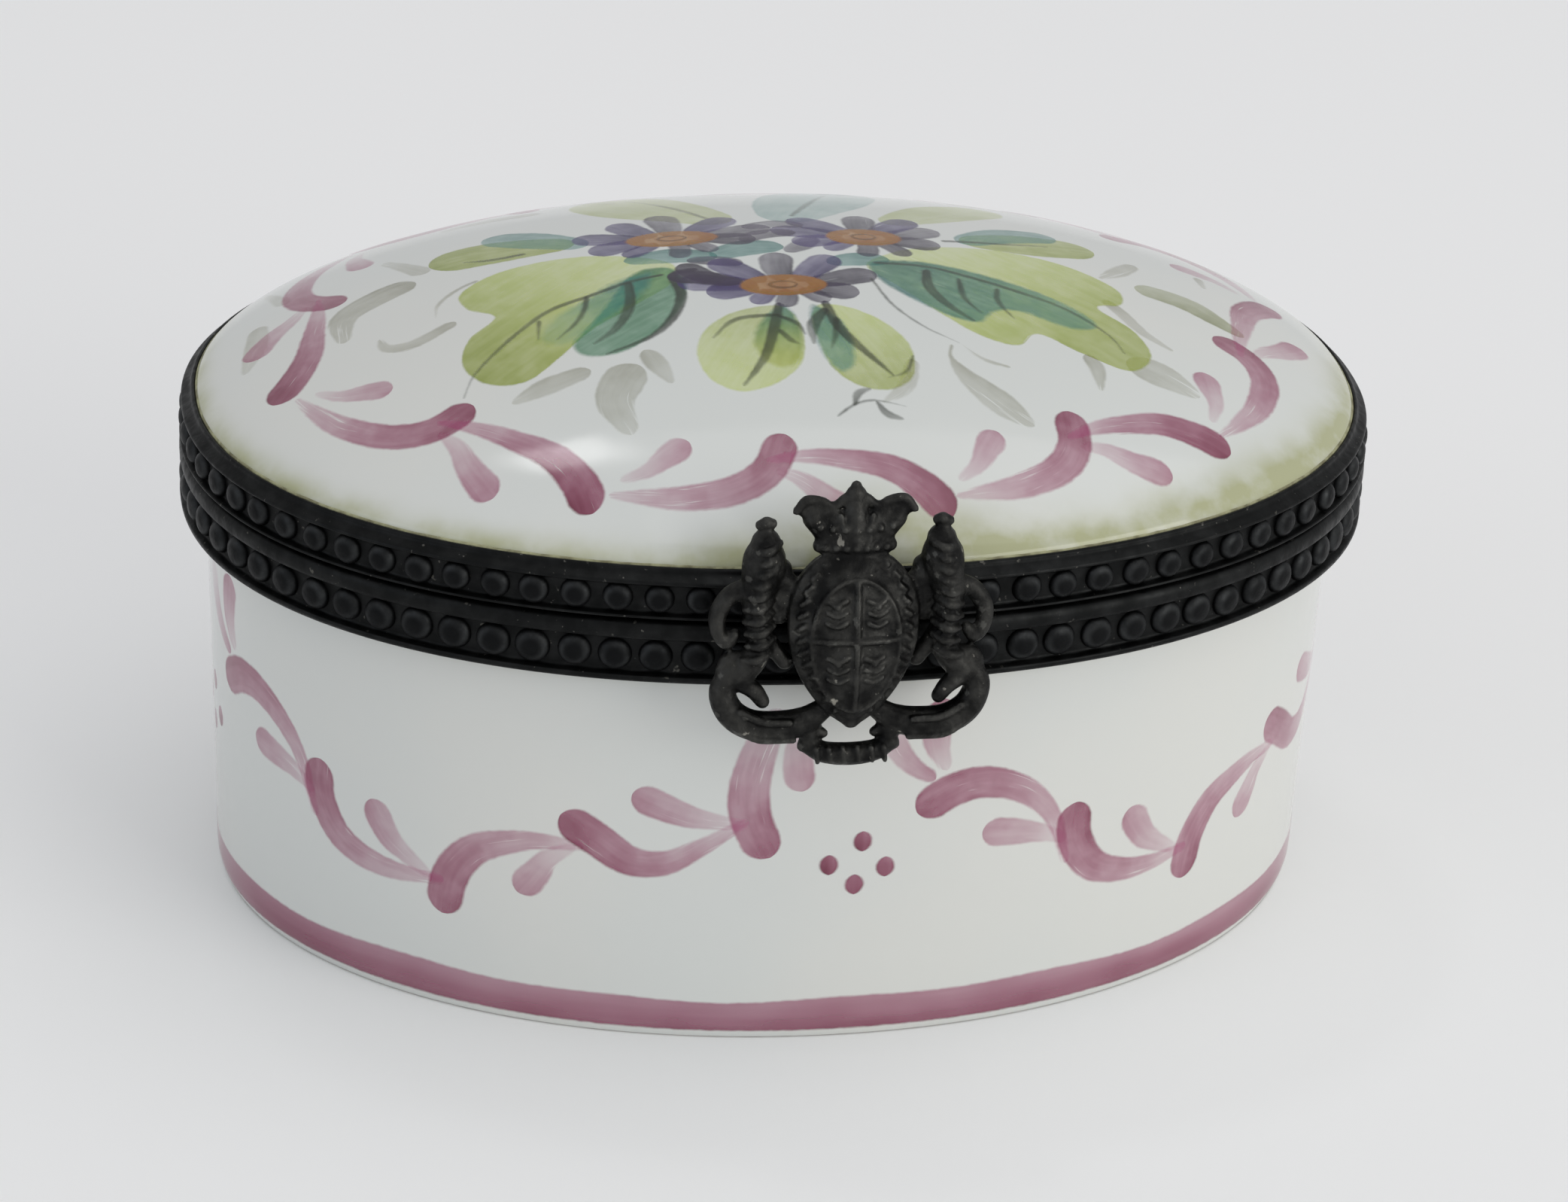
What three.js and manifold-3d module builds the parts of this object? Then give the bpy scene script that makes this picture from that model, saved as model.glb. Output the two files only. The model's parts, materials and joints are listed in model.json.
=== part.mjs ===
// Oval hinged porcelain pill box: a bowl and a domed lid, each set with cement in a beaded
// metal bezel, joined by a five-knuckle hinge at the back and closed by a cast ornamental
// clasp at the front. Millimetres, +Z up, the front faces -Y, and the box stands on z = 0.
import * as THREE from "three";
import { mergeVertices } from "three/addons/utils/BufferGeometryUtils.js";
import Module from "manifold-3d";

// Driving dimensions
const HALF_WIDTH = 30; // outer face of the bezels, along X
const HALF_DEPTH = 22; // outer face of the bezels, along Y
const SEAM = 23.8; // height of the joint between the two bezels
const DOME_HEIGHT = 6.5; // crown of the lid above its bezel
const DOME_POWER = 0.728; // below 1: steep at the rim and flat on top
const WALL = 2.6; // porcelain thickness
const BEZEL_OVAL = { halfWidth: HALF_WIDTH, halfDepth: HALF_DEPTH, power: 2.15 };
const BODY_SET_IN = 1.32; // porcelain face behind the bezel's outer face
const BODY_OVAL = {
  halfWidth: HALF_WIDTH - BODY_SET_IN,
  halfDepth: HALF_DEPTH - BODY_SET_IN,
  power: 2.03,
};
const SEGMENTS = 56; // sides of every oval ring

// Bezels
const SEAM_GAP = 0.16;
const LID_BEZEL_TOP = SEAM + 2.55;
const BASE_BEZEL_BOTTOM = SEAM - 3.28;
const METAL = 0.6; // thickness of the bezel strip
const FLANGE_IN = BODY_SET_IN + WALL; // inner edge of the flanges over the porcelain rims
const COVE = 0.42; // depth of the channel that holds the beads
const COVE_MARGIN = 0.1; // the channel is this much wider than the beads on each side
const LIP_IN = 0.77; // how far the lid bezel's top lip leans in
const LID_BEADS = { height: SEAM + 1.02, radius: 0.66, count: 85 };
const BASE_BEADS = { height: SEAM - 1.93, radius: 0.74, count: 85 };

// Porcelain
const FOOT_RECESS = 0.7;
const FOOT_TAPER = 0.4; // the bowl narrows this much from its bezel to its foot
const FLOOR = 3.5; // height of the inside floor
const CORNER = 3.2; // radius between wall and floor inside
const LID_RIM_BOTTOM = SEAM + 0.95;
const LID_EDGE_IN = 0.9; // edge of the dome behind the bezel's outer face
const LID_RIM_IN = 1.35; // the rim inside the bezel is narrower than the dome
const LID_HOLLOW_HEIGHT = 5.8;

// Hinge
const PIN_RADIUS = 0.45;
const PIN_CLEARANCE = 0.05;
const KNUCKLE_RADIUS = 1.15;
const KNUCKLE_LENGTH = 2.4;
const KNUCKLE_GAP = 0.12;
const KNUCKLE_COUNT = 5;
const LEAF_THICKNESS = 0.5;
const SOLDER_GAP = 0.05;
const HINGE_Y = HALF_DEPTH + LEAF_THICKNESS + 2 * SOLDER_GAP + KNUCKLE_RADIUS;
const HINGE_WIDTH = KNUCKLE_COUNT * (KNUCKLE_LENGTH + KNUCKLE_GAP) - KNUCKLE_GAP;

// Clasp
const CREST_STAND_OFF = 0.9; // back of the casting in front of the bezels
const CREST_LEAN = THREE.MathUtils.degToRad(8); // the top leans back over the lid
const CREST_PLATE = 1; // thickness of the flat casting
const SHIELD_DOME = 1.2; // relief of the shield above the plate
const SHIELD_BEVEL = 1.3; // width of the sloping border of that relief
const NIB_RADIUS = 0.42;
const NIB_BELOW_SEAM = 0.58;
const NIB_REACH = 0.36;

const wasm = await Module();
wasm.setup();

const porcelain = new THREE.MeshStandardMaterial({ color: 0xd9dad6, roughness: 0.18 });
const patina = new THREE.MeshStandardMaterial({ color: 0x26262a, roughness: 0.5, metalness: 0.9 });
const cement = new THREE.MeshStandardMaterial({ color: 0xb0aa78, roughness: 0.8 });
const steel = new THREE.MeshStandardMaterial({ color: 0x6a6a6c, roughness: 0.4, metalness: 1 });

// --- shape helpers -----------------------------------------------------------------

// A point of an oval at a polar angle, moved inwards by inset. Up to reach it moves along
// the outline's normal, so a wall keeps its thickness; the rest of the way is a straight
// scaling to the centre, so a floor or a dome closes evenly.
function ovalPoint(angle, inset, oval, reach) {
  const { halfWidth, halfDepth, power } = oval;
  const c = Math.cos(angle);
  const s = Math.sin(angle);
  const sum = Math.abs(c / halfWidth) ** power + Math.abs(s / halfDepth) ** power;
  const x = c * sum ** (-1 / power);
  const y = s * sum ** (-1 / power);
  const slopeX = (Math.sign(x) * Math.abs(x / halfWidth) ** (power - 1)) / halfWidth;
  const slopeY = (Math.sign(y) * Math.abs(y / halfDepth) ** (power - 1)) / halfDepth;
  const slope = Math.hypot(slopeX, slopeY);
  const offset = Math.min(inset, reach);
  const scale = inset > reach ? (halfDepth - inset) / (halfDepth - reach) : 1;
  return new THREE.Vector2(x - (offset * slopeX) / slope, y - (offset * slopeY) / slope)
    .multiplyScalar(scale);
}

// A lathe around an oval. The profile is a list of [inset, height] points; the axis is at
// an inset of the oval's half depth. swell(step) scales the profile about its middle.
function ovalLathe(profile, oval, { reach = 6, segments = SEGMENTS, swell = null } = {}) {
  const points = profile.map(([inset, height]) => new THREE.Vector2(oval.halfDepth - inset, height));
  const geometry = new THREE.LatheGeometry(points, segments);
  const position = geometry.getAttribute("position");
  for (let i = 0; i < position.count; i += 1) {
    const step = Math.floor(i / profile.length);
    const [inset, height] = profile[i % profile.length];
    const [moved, lifted] = swell ? swell(step, inset, height) : [inset, height];
    const angle = ((step % segments) / segments) * 2 * Math.PI;
    const { x, y } = ovalPoint(angle, moved, oval, reach);
    position.setXYZ(i, x, y, lifted);
  }
  return geometry;
}

function arc(centreInset, centreHeight, radius, fromDegrees, toDegrees, steps) {
  return Array.from({ length: steps + 1 }, (_, i) => {
    const turn = THREE.MathUtils.degToRad(
      fromDegrees + ((toDegrees - fromDegrees) * i) / steps,
    );
    return [centreInset + radius * Math.cos(turn), centreHeight + radius * Math.sin(turn)];
  });
}

const closed = (profile) => [...profile, profile[0]];

function solidOf(geometry) {
  const bare = geometry.clone();
  bare.deleteAttribute("normal");
  bare.deleteAttribute("uv");
  const merged = mergeVertices(bare, 1e-4);
  return new wasm.Manifold(
    new wasm.Mesh({
      numProp: 3,
      vertProperties: merged.getAttribute("position").array,
      triVerts: new Uint32Array(merged.index.array),
    }),
  );
}

function geometryOf(solid) {
  const { vertProperties, triVerts } = solid.getMesh();
  const geometry = new THREE.BufferGeometry();
  geometry.setAttribute("position", new THREE.BufferAttribute(vertProperties, 3));
  geometry.setIndex(new THREE.BufferAttribute(triVerts, 1));
  return geometry;
}

const join = (geometries) =>
  geometryOf(geometries.map(solidOf).reduce((whole, piece) => whole.add(piece)));

function box(width, depth, height, x, y, z) {
  return new THREE.BoxGeometry(width, depth, height).translate(x, y, z);
}

const group = new THREE.Group();

function addMesh(name, geometry, material) {
  const mesh = new THREE.Mesh(geometry, material.clone());
  mesh.name = name;
  group.add(mesh);
  return mesh;
}

// --- porcelain ---------------------------------------------------------------------

function baseShell() {
  const axis = BODY_OVAL.halfDepth;
  const rimTop = SEAM - 0.8;
  const profile = [
    [axis, FOOT_RECESS],
    [4.4, FOOT_RECESS],
    [3.8, 0],
    [1.2, 0],
    [0.65, 0.25],
    [FOOT_TAPER, 1],
    [0, BASE_BEZEL_BOTTOM - 0.4],
    [0.12, rimTop - 0.5],
    [0.6, rimTop],
    [WALL - 0.5, rimTop],
    [WALL, rimTop - 0.5],
    [WALL, FLOOR + CORNER],
    ...arc(WALL + CORNER, FLOOR + CORNER, CORNER, 180, 270, 3).slice(1),
    [axis, FLOOR],
  ];
  return ovalLathe(profile, BODY_OVAL);
}

// Height of a dome over its edge, at a share of the way out from the axis
const domeRise = (share, height, power) => height * (1 - share * share) ** power;

function dome(edgeInset, edgeHeight, height, power, steps) {
  const halfDepth = HALF_DEPTH - edgeInset;
  return Array.from({ length: steps + 1 }, (_, i) => {
    const share = Math.cos((i / steps) * (Math.PI / 2));
    const inset = i === steps ? HALF_DEPTH : HALF_DEPTH - share * halfDepth;
    return [inset, edgeHeight + domeRise(share, height, power)];
  });
}

function lidShell() {
  const hollow = dome(FLANGE_IN, LID_RIM_BOTTOM, LID_HOLLOW_HEIGHT, 0.5, 5);
  const profile = [
    ...hollow.reverse(),
    [LID_RIM_IN, LID_RIM_BOTTOM],
    [LID_RIM_IN, LID_BEZEL_TOP - 0.5],
    ...dome(LID_EDGE_IN, LID_BEZEL_TOP, DOME_HEIGHT, DOME_POWER, 8),
  ];
  return ovalLathe(profile, BEZEL_OVAL, { reach: 1.5 });
}

// --- bezels ------------------------------------------------------------------------

// Both strips are channels: two lips with a cove between them for the beads, and a flange
// that covers the rim of the porcelain.
function lidBezel() {
  const bottom = SEAM + SEAM_GAP / 2;
  const coveLow = LID_BEADS.height - LID_BEADS.radius - COVE_MARGIN;
  const coveHigh = LID_BEADS.height + LID_BEADS.radius + COVE_MARGIN;
  const profile = closed([
    [0.1, bottom],
    [0, coveLow],
    [COVE, coveLow + COVE_MARGIN],
    [COVE, coveHigh - COVE_MARGIN],
    [0, coveHigh],
    [0.1, coveHigh + 0.4],
    [LIP_IN, LID_BEZEL_TOP],
    [COVE + METAL, coveHigh - 0.1],
    [COVE + METAL, bottom + METAL],
    [FLANGE_IN, bottom + METAL],
    [FLANGE_IN, bottom],
  ]);
  return ovalLathe(profile, BEZEL_OVAL);
}

function baseBezel() {
  const top = SEAM - SEAM_GAP / 2;
  const coveLow = BASE_BEADS.height - BASE_BEADS.radius - COVE_MARGIN;
  const coveHigh = BASE_BEADS.height + BASE_BEADS.radius + COVE_MARGIN;
  const profile = closed([
    [FLANGE_IN, top],
    [FLANGE_IN, top - METAL],
    [COVE + METAL, top - METAL],
    [COVE + METAL, BASE_BEZEL_BOTTOM + 0.4],
    [BODY_SET_IN - 0.06, BASE_BEZEL_BOTTOM + 0.4],
    [BODY_SET_IN - 0.06, BASE_BEZEL_BOTTOM],
    [0.2, BASE_BEZEL_BOTTOM],
    [0, coveLow],
    [COVE, coveLow + COVE_MARGIN],
    [COVE, coveHigh - COVE_MARGIN],
    [0, coveHigh],
    [0.1, top],
  ]);
  return ovalLathe(profile, BEZEL_OVAL);
}

// A beaded wire lying in the cove: a strip with a flat back that swells into a bead and
// narrows again once for every bead.
function beadWire({ height, radius, count }) {
  const stationsPerBead = 3;
  const neck = 0.45;
  const back = COVE - 0.03;
  const front = back - radius * 0.62;
  const profile = closed([
    [back, height - radius * 0.9],
    [front, height - radius * 0.4],
    [front, height + radius * 0.4],
    [back, height + radius * 0.9],
  ]);
  const swell = (step, inset, level) => {
    const size = step % stationsPerBead === 0 ? neck : 1;
    return [back + (inset - back) * size, height + (level - height) * size];
  };
  return ovalLathe(profile, BEZEL_OVAL, { segments: count * stationsPerBead, swell });
}

// Cement fills the channel between the strip and the porcelain rim.
function cementRing(low, high, from, to) {
  return ovalLathe(closed([[from, high], [to, high], [to, low], [from, low]]), BEZEL_OVAL);
}

// --- hinge -------------------------------------------------------------------------

const alongX = (geometry, x, y, z) => geometry.rotateZ(-Math.PI / 2).translate(x, y, z);

function knuckle(index) {
  const bore = PIN_RADIUS + PIN_CLEARANCE;
  const start = -HINGE_WIDTH / 2 + index * (KNUCKLE_LENGTH + KNUCKLE_GAP);
  const corners = [
    [bore, 0],
    [KNUCKLE_RADIUS, 0],
    [KNUCKLE_RADIUS, KNUCKLE_LENGTH],
    [bore, KNUCKLE_LENGTH],
    [bore, 0],
  ];
  const ring = new THREE.LatheGeometry(corners.map(([r, h]) => new THREE.Vector2(r, h)), 16);
  return alongX(ring, start, HINGE_Y, SEAM);
}

function hingePin() {
  const head = 0.8;
  const headLength = 0.3;
  const half = HINGE_WIDTH / 2 + SOLDER_GAP;
  const corners = [
    [0, -half - headLength],
    [head * 0.8, -half - headLength],
    [head, -half],
    [PIN_RADIUS, -half],
    [PIN_RADIUS, half],
    [head, half],
    [head * 0.8, half + headLength],
    [0, half + headLength],
  ];
  const pin = new THREE.LatheGeometry(corners.map(([r, h]) => new THREE.Vector2(r, h)), 16);
  return alongX(pin, 0, HINGE_Y, SEAM);
}

// Each leaf is a flat plate soldered to the back of its bezel, with the knuckles on it.
function hingeLeaf(low, high) {
  const y = HALF_DEPTH + SOLDER_GAP + LEAF_THICKNESS / 2;
  return box(HINGE_WIDTH, LEAF_THICKNESS, high - low, 0, y, (low + high) / 2);
}

// --- clasp -------------------------------------------------------------------------

// The plate of the casting stands in the XZ plane; its back is at y = 0 and its face
// looks to -Y. Heights are measured from the seam.
function extrudeFace(shape, depth, bevelThickness, bevelSize, bevelSegments) {
  const geometry = new THREE.ExtrudeGeometry(shape, {
    depth,
    bevelEnabled: bevelThickness > 0,
    bevelThickness,
    bevelSize,
    bevelOffset: -bevelSize,
    bevelSegments,
    curveSegments: 6,
  });
  return geometry.rotateX(Math.PI / 2);
}

function shield() {
  const outline = new THREE.Shape();
  outline.moveTo(0, -4.2);
  outline.bezierCurveTo(2.1, -3, 3, -1.2, 3, 0.8);
  outline.bezierCurveTo(3, 2.9, 1.8, 4.5, 0, 4.5);
  outline.bezierCurveTo(-1.8, 4.5, -3, 2.9, -3, 0.8);
  outline.bezierCurveTo(-3, -1.2, -2.1, -3, 0, -4.2);
  return extrudeFace(outline, CREST_PLATE - 0.2, SHIELD_DOME, SHIELD_BEVEL, 3);
}

function coronet() {
  const outline = new THREE.Shape();
  outline.moveTo(-1.6, 4);
  outline.lineTo(1.6, 4);
  outline.quadraticCurveTo(1.5, 5.5, 2.8, 6.2);
  outline.lineTo(2.4, 7);
  outline.quadraticCurveTo(1.6, 7, 0.8, 6.7);
  outline.quadraticCurveTo(0.7, 7.6, 0, 7.6);
  outline.quadraticCurveTo(-0.7, 7.6, -0.8, 6.7);
  outline.quadraticCurveTo(-1.6, 7, -2.4, 7);
  outline.lineTo(-2.8, 6.2);
  outline.quadraticCurveTo(-1.5, 5.5, -1.6, 4);
  return extrudeFace(outline, CREST_PLATE, 0.3, 0.25, 1);
}

// A scroll of the casting: a rod along a curve through [x, height] points.
function scroll(points, radius, side) {
  const path = new THREE.CatmullRomCurve3(
    points.map(([x, z]) => new THREE.Vector3(side * x, -CREST_PLATE / 2, z)),
  );
  const section = new THREE.Shape().absarc(0, 0, radius, 0, 2 * Math.PI, false);
  return new THREE.ExtrudeGeometry(section, {
    steps: points.length * 2,
    curveSegments: 3,
    bevelEnabled: false,
    extrudePath: path,
  });
}

function knob(x, z, radius) {
  return new THREE.SphereGeometry(radius, 8, 6).translate(x, -CREST_PLATE / 2, z);
}

function claspCrest() {
  const pieces = [shield(), coronet()];
  for (const side of [-1, 1]) {
    pieces.push(
      scroll([[4.1, 5], [4.2, 4], [4.4, 2.4], [4.4, 0.8], [4.6, -0.8], [5.4, -1.9]], 0.8, side),
      scroll([[4.7, 2.6], [5.7, 2.2], [6.2, 1.2], [6.1, 0.3], [5.6, -0.1]], 0.42, side),
      scroll([[2.5, 2.2], [3.2, 2.7], [4.2, 3]], 0.6, side),
      scroll([[2.6, -1.5], [3.4, -0.6], [4.4, 0.2]], 0.42, side),
      scroll([[5.5, -1.7], [4.7, -2.2], [4.1, -2.9]], 0.42, side),
      scroll([[5.5, -1.6], [6, -2.4], [5.6, -3.5], [4.6, -4.1], [3.2, -4.2]], 0.66, side),
      scroll([[3.4, -4.2], [1.8, -3.9], [0.6, -3]], 0.6, side),
      scroll([[2, -4], [2, -5.1], [1.2, -5.6], [-0.2, -5.8]], 0.5, side),
      knob(side * 4.1, 5.5, 0.6),
    );
  }
  const flatBack = box(20, 4, 24, 0, 2, 0);
  return geometryOf(solidOf(join(pieces)).subtract(solidOf(flatBack)));
}

function addClasp() {
  const crest = addMesh("clasp_crest", claspCrest(), patina);
  crest.position.set(0, -HALF_DEPTH - CREST_STAND_OFF, SEAM);
  crest.rotation.x = -CREST_LEAN;
}

function claspMount() {
  const depth = 0.34;
  const low = SEAM + SEAM_GAP;
  const high = LID_BEZEL_TOP - 0.45;
  const y = -HALF_DEPTH - SOLDER_GAP - depth / 2;
  return box(4.4, depth, high - low, 0, y, (low + high) / 2);
}

// A springy strip behind the casting; it hangs from its mount and closes over the nib.
function claspTongue() {
  const thickness = 0.22;
  const low = BASE_BEZEL_BOTTOM + 0.4;
  const high = SEAM + 1.5;
  const y = -HALF_DEPTH - NIB_REACH - 2 * SOLDER_GAP - thickness / 2;
  return box(2.8, thickness, high - low, 0, y, (low + high) / 2);
}

function catchNib() {
  const points = [
    [0, 0],
    [NIB_RADIUS, 0],
    [NIB_RADIUS * 0.85, NIB_REACH * 0.6],
    [0, NIB_REACH],
  ].map(([r, h]) => new THREE.Vector2(r, h));
  const nib = new THREE.LatheGeometry(points, 12);
  return nib.rotateX(Math.PI).translate(0, -HALF_DEPTH - SOLDER_GAP, SEAM - NIB_BELOW_SEAM);
}

// --- assembly ----------------------------------------------------------------------

addMesh("base_shell", baseShell(), porcelain);
addMesh("lid_shell", lidShell(), porcelain);
addMesh("base_bezel", baseBezel(), patina);
addMesh("lid_bezel", lidBezel(), patina);
addMesh("base_bead_wire", beadWire(BASE_BEADS), patina);
addMesh("lid_bead_wire", beadWire(LID_BEADS), patina);
addMesh("base_cement", cementRing(BASE_BEZEL_BOTTOM + 0.5, SEAM - 0.9, 1.06, 1.24), cement);
addMesh("lid_cement", cementRing(SEAM + 0.75, LID_BEZEL_TOP - 0.75, 1.06, 1.3), cement);
addMesh("base_hinge_leaf", hingeLeaf(BASE_BEZEL_BOTTOM + 0.2, SEAM - SEAM_GAP), patina);
addMesh("lid_hinge_leaf", hingeLeaf(SEAM + SEAM_GAP, LID_BEZEL_TOP - 0.4), patina);
for (let index = 0; index < KNUCKLE_COUNT; index += 1) {
  const owner = index % 2 === 0 ? "base" : "lid";
  addMesh(`${owner}_knuckle_${Math.floor(index / 2) + 1}`, knuckle(index), patina);
}
addMesh("hinge_pin", hingePin(), steel);
addClasp();
addMesh("clasp_mount", claspMount(), patina);
addMesh("clasp_tongue", claspTongue(), steel);
addMesh("catch_nib", catchNib(), steel);

export default group;
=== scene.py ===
"""A porcelain pill box: a painted bowl and domed lid, each held in a dark beaded metal bezel,
with a five-knuckle hinge behind and a cast openwork clasp in front.

Shapes are written in millimetres, with the front at -Y, and become metres in new_piece."""
import json
import math

import bmesh
import bpy
import numpy as np
from mathutils import Matrix, Vector


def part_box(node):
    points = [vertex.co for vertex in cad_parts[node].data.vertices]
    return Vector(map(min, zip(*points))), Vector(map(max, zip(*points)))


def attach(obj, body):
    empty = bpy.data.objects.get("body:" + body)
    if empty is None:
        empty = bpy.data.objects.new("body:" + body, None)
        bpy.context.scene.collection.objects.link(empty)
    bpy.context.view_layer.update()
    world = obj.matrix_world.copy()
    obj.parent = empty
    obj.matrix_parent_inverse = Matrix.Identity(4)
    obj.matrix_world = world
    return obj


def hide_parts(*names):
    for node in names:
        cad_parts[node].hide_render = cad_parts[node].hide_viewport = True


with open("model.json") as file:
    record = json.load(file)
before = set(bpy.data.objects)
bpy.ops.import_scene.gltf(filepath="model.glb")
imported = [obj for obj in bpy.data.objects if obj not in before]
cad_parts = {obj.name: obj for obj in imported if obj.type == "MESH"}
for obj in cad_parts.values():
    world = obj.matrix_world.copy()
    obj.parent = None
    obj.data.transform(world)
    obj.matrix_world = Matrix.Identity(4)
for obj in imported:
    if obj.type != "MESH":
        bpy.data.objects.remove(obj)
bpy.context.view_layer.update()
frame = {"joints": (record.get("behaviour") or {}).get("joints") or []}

MM = 0.001
rng = np.random.default_rng(7)


def corners(node):
    """Lowest and highest corner of a CAD node, in mm."""
    low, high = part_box(node)
    return np.array(low) / MM, np.array(high) / MM


# --- driving dimensions, mm ---------------------------------------------------------

HINGE = frame["joints"][0]["pos_m"]
HINGE_Y = HINGE[1] / MM
SEAM = HINGE[2] / MM
HALF_WIDTH, HALF_DEPTH = corners("base_bezel")[1][:2]
LID_EDGE = corners("lid_bezel")[1][2]  # where the dome leaves its bezel
CROWN = corners("lid_shell")[1][2]
BEZEL_BOTTOM = corners("base_bezel")[0][2]
BODY_HALF_WIDTH, BODY_HALF_DEPTH = corners("base_shell")[1][:2]

RIM_POWER, BODY_POWER = 2.15, 2.03  # of the superellipses seen from above
DOME_IN = 0.9  # edge of the dome behind the bezel's outer face
DOME_POWER = 0.728  # below 1: steep at the rim and flat on top
WALL = 2.6
WALL_TOP = BEZEL_BOTTOM - 0.4  # where the taper of the wall starts
FOOT_TAPER = 0.4
FOOT_ROUND = 0.28
FOOT_RECESS = 0.7
FLOOR = 3.5
FLOOR_CORNER = 3.2
RIM_DROP = 0.8  # rim of the bowl below the seam
FLANGE_IN = 3.92
COVE = 0.42
RING_STEPS = 320
LID_BEAD = {"height": SEAM + 1.02, "radius": 0.74, "count": 85}
BASE_BEAD = {"height": SEAM - 1.93, "radius": 0.84, "count": 85}

# Camera, on a line out from the middle of the seam
VIEW_TURN = math.radians(-9.8)
VIEW_HEIGHT = math.radians(26.87)
VIEW_ROLL = math.radians(2.75)
VIEW_DISTANCE = 244.0
VIEW_RIGHT, VIEW_UP = 0.814, -8.869  # how far the camera stands beside and below that line
LENS, SENSOR = 110.7, 36.0

# Colours, linear. A paint is what a full load of it lets through of the white beneath.
WHITE = (0.656, 0.670, 0.645)
ROSE = (0.37, 0.118, 0.188)
LEAF = (0.50, 0.56, 0.20)
LIME = (0.62, 0.74, 0.16)
TEAL = (0.23, 0.39, 0.375)
SEA_GREEN = (0.24, 0.42, 0.30)
VEIN = (0.17, 0.175, 0.165)
ORANGE = (0.552, 0.303, 0.141)
AMBER = (0.30, 0.17, 0.09)
VIOLET = (0.27, 0.245, 0.375)
SLATE = (0.21, 0.195, 0.235)
TAUPE = (0.43, 0.42, 0.35)
OLIVE = (0.38, 0.40, 0.24)


# --- ovals and surfaces -------------------------------------------------------------

class Oval:
    """A superellipse seen from above, with arc length measured from the front centre."""

    TABLE = 4096

    def __init__(self, half_width, half_depth, power):
        self.half_width, self.half_depth, self.power = half_width, half_depth, power
        self.angles = np.linspace(-math.pi, math.pi, self.TABLE + 1) - math.pi / 2
        x, y = self.outline(self.angles)
        lengths = np.hypot(np.diff(x), np.diff(y))
        self.lengths = np.concatenate(([0.0], np.cumsum(lengths)))
        self.perimeter = self.lengths[-1]
        self.lengths -= self.perimeter / 2

    def outline(self, angle, inset=0.0):
        """Points at polar angles, moved inwards along the outline's normal by inset."""
        c, s = np.cos(angle), np.sin(angle)
        n = self.power
        reach = (np.abs(c / self.half_width) ** n + np.abs(s / self.half_depth) ** n) ** (-1 / n)
        x, y = c * reach, s * reach
        out_x, out_y = self.outward(x, y)
        return x - inset * out_x, y - inset * out_y

    def outward(self, x, y):
        """The outline's normal at a point of it."""
        n = self.power
        out_x = np.sign(x) * np.abs(x / self.half_width) ** (n - 1) / self.half_width
        out_y = np.sign(y) * np.abs(y / self.half_depth) ** (n - 1) / self.half_depth
        size = np.hypot(out_x, out_y)
        return out_x / size, out_y / size

    def angle_at(self, distance):
        """Polar angle of the place at an arc length from the front centre."""
        wrapped = (np.asarray(distance, float) + self.perimeter / 2) % self.perimeter
        return np.interp(wrapped - self.perimeter / 2, self.lengths, self.angles)

    def share(self, x, y):
        """0 at the centre, 1 on the outline."""
        n = self.power
        return (np.abs(x / self.half_width) ** n + np.abs(y / self.half_depth) ** n) ** (1 / n)


BEZEL_OVAL = Oval(HALF_WIDTH, HALF_DEPTH, RIM_POWER)
DOME_OVAL = Oval(HALF_WIDTH - DOME_IN, HALF_DEPTH - DOME_IN, RIM_POWER)
BODY_OVAL = Oval(BODY_HALF_WIDTH, BODY_HALF_DEPTH, BODY_POWER)
GARLAND_SHARE = 0.86
GARLAND_OVAL = Oval(
    DOME_OVAL.half_width * GARLAND_SHARE, DOME_OVAL.half_depth * GARLAND_SHARE, RIM_POWER
)


def dome_height(x, y):
    """Height of the lid's outside over a plan position."""
    inside = np.clip(1 - DOME_OVAL.share(x, y) ** 2, 0, None)
    return LID_EDGE + (CROWN - LID_EDGE) * inside ** DOME_POWER


def on_dome(x, y, lift):
    """A point of the lid's surface over plan position x, y, raised along its normal."""
    step = 0.02
    slope_x = (dome_height(x + step, y) - dome_height(x - step, y)) / (2 * step)
    slope_y = (dome_height(x, y + step) - dome_height(x, y - step)) / (2 * step)
    normal = np.stack((-slope_x, -slope_y, np.ones_like(slope_x)), -1)
    normal /= np.linalg.norm(normal, axis=-1, keepdims=True)
    return np.stack((x, y, dome_height(x, y)), -1) + normal * np.asarray(lift)[..., None]


def wall_inset(height):
    """How far the bowl's outside lies inside its oval: it tapers, and rounds under at the foot."""
    taper = FOOT_TAPER * np.clip(1 - height / WALL_TOP, 0, 1)
    return taper + FOOT_ROUND * np.clip(1 - height, 0, 1) ** 2


def on_wall(along, height, lift):
    """A point of the bowl's outside, at an arc length from the front centre."""
    x, y = BODY_OVAL.outline(BODY_OVAL.angle_at(along), wall_inset(height) - lift)
    return np.stack((x, y, height), -1)


def on_garland(along, inwards):
    """Plan position beside the ring that the lid's garland follows."""
    return GARLAND_OVAL.outline(GARLAND_OVAL.angle_at(along), inwards)


# --- mesh helpers -------------------------------------------------------------------

def full_turn(count):
    """Evenly spaced angles of one turn."""
    return np.arange(count) / count * 2 * math.pi


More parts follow.
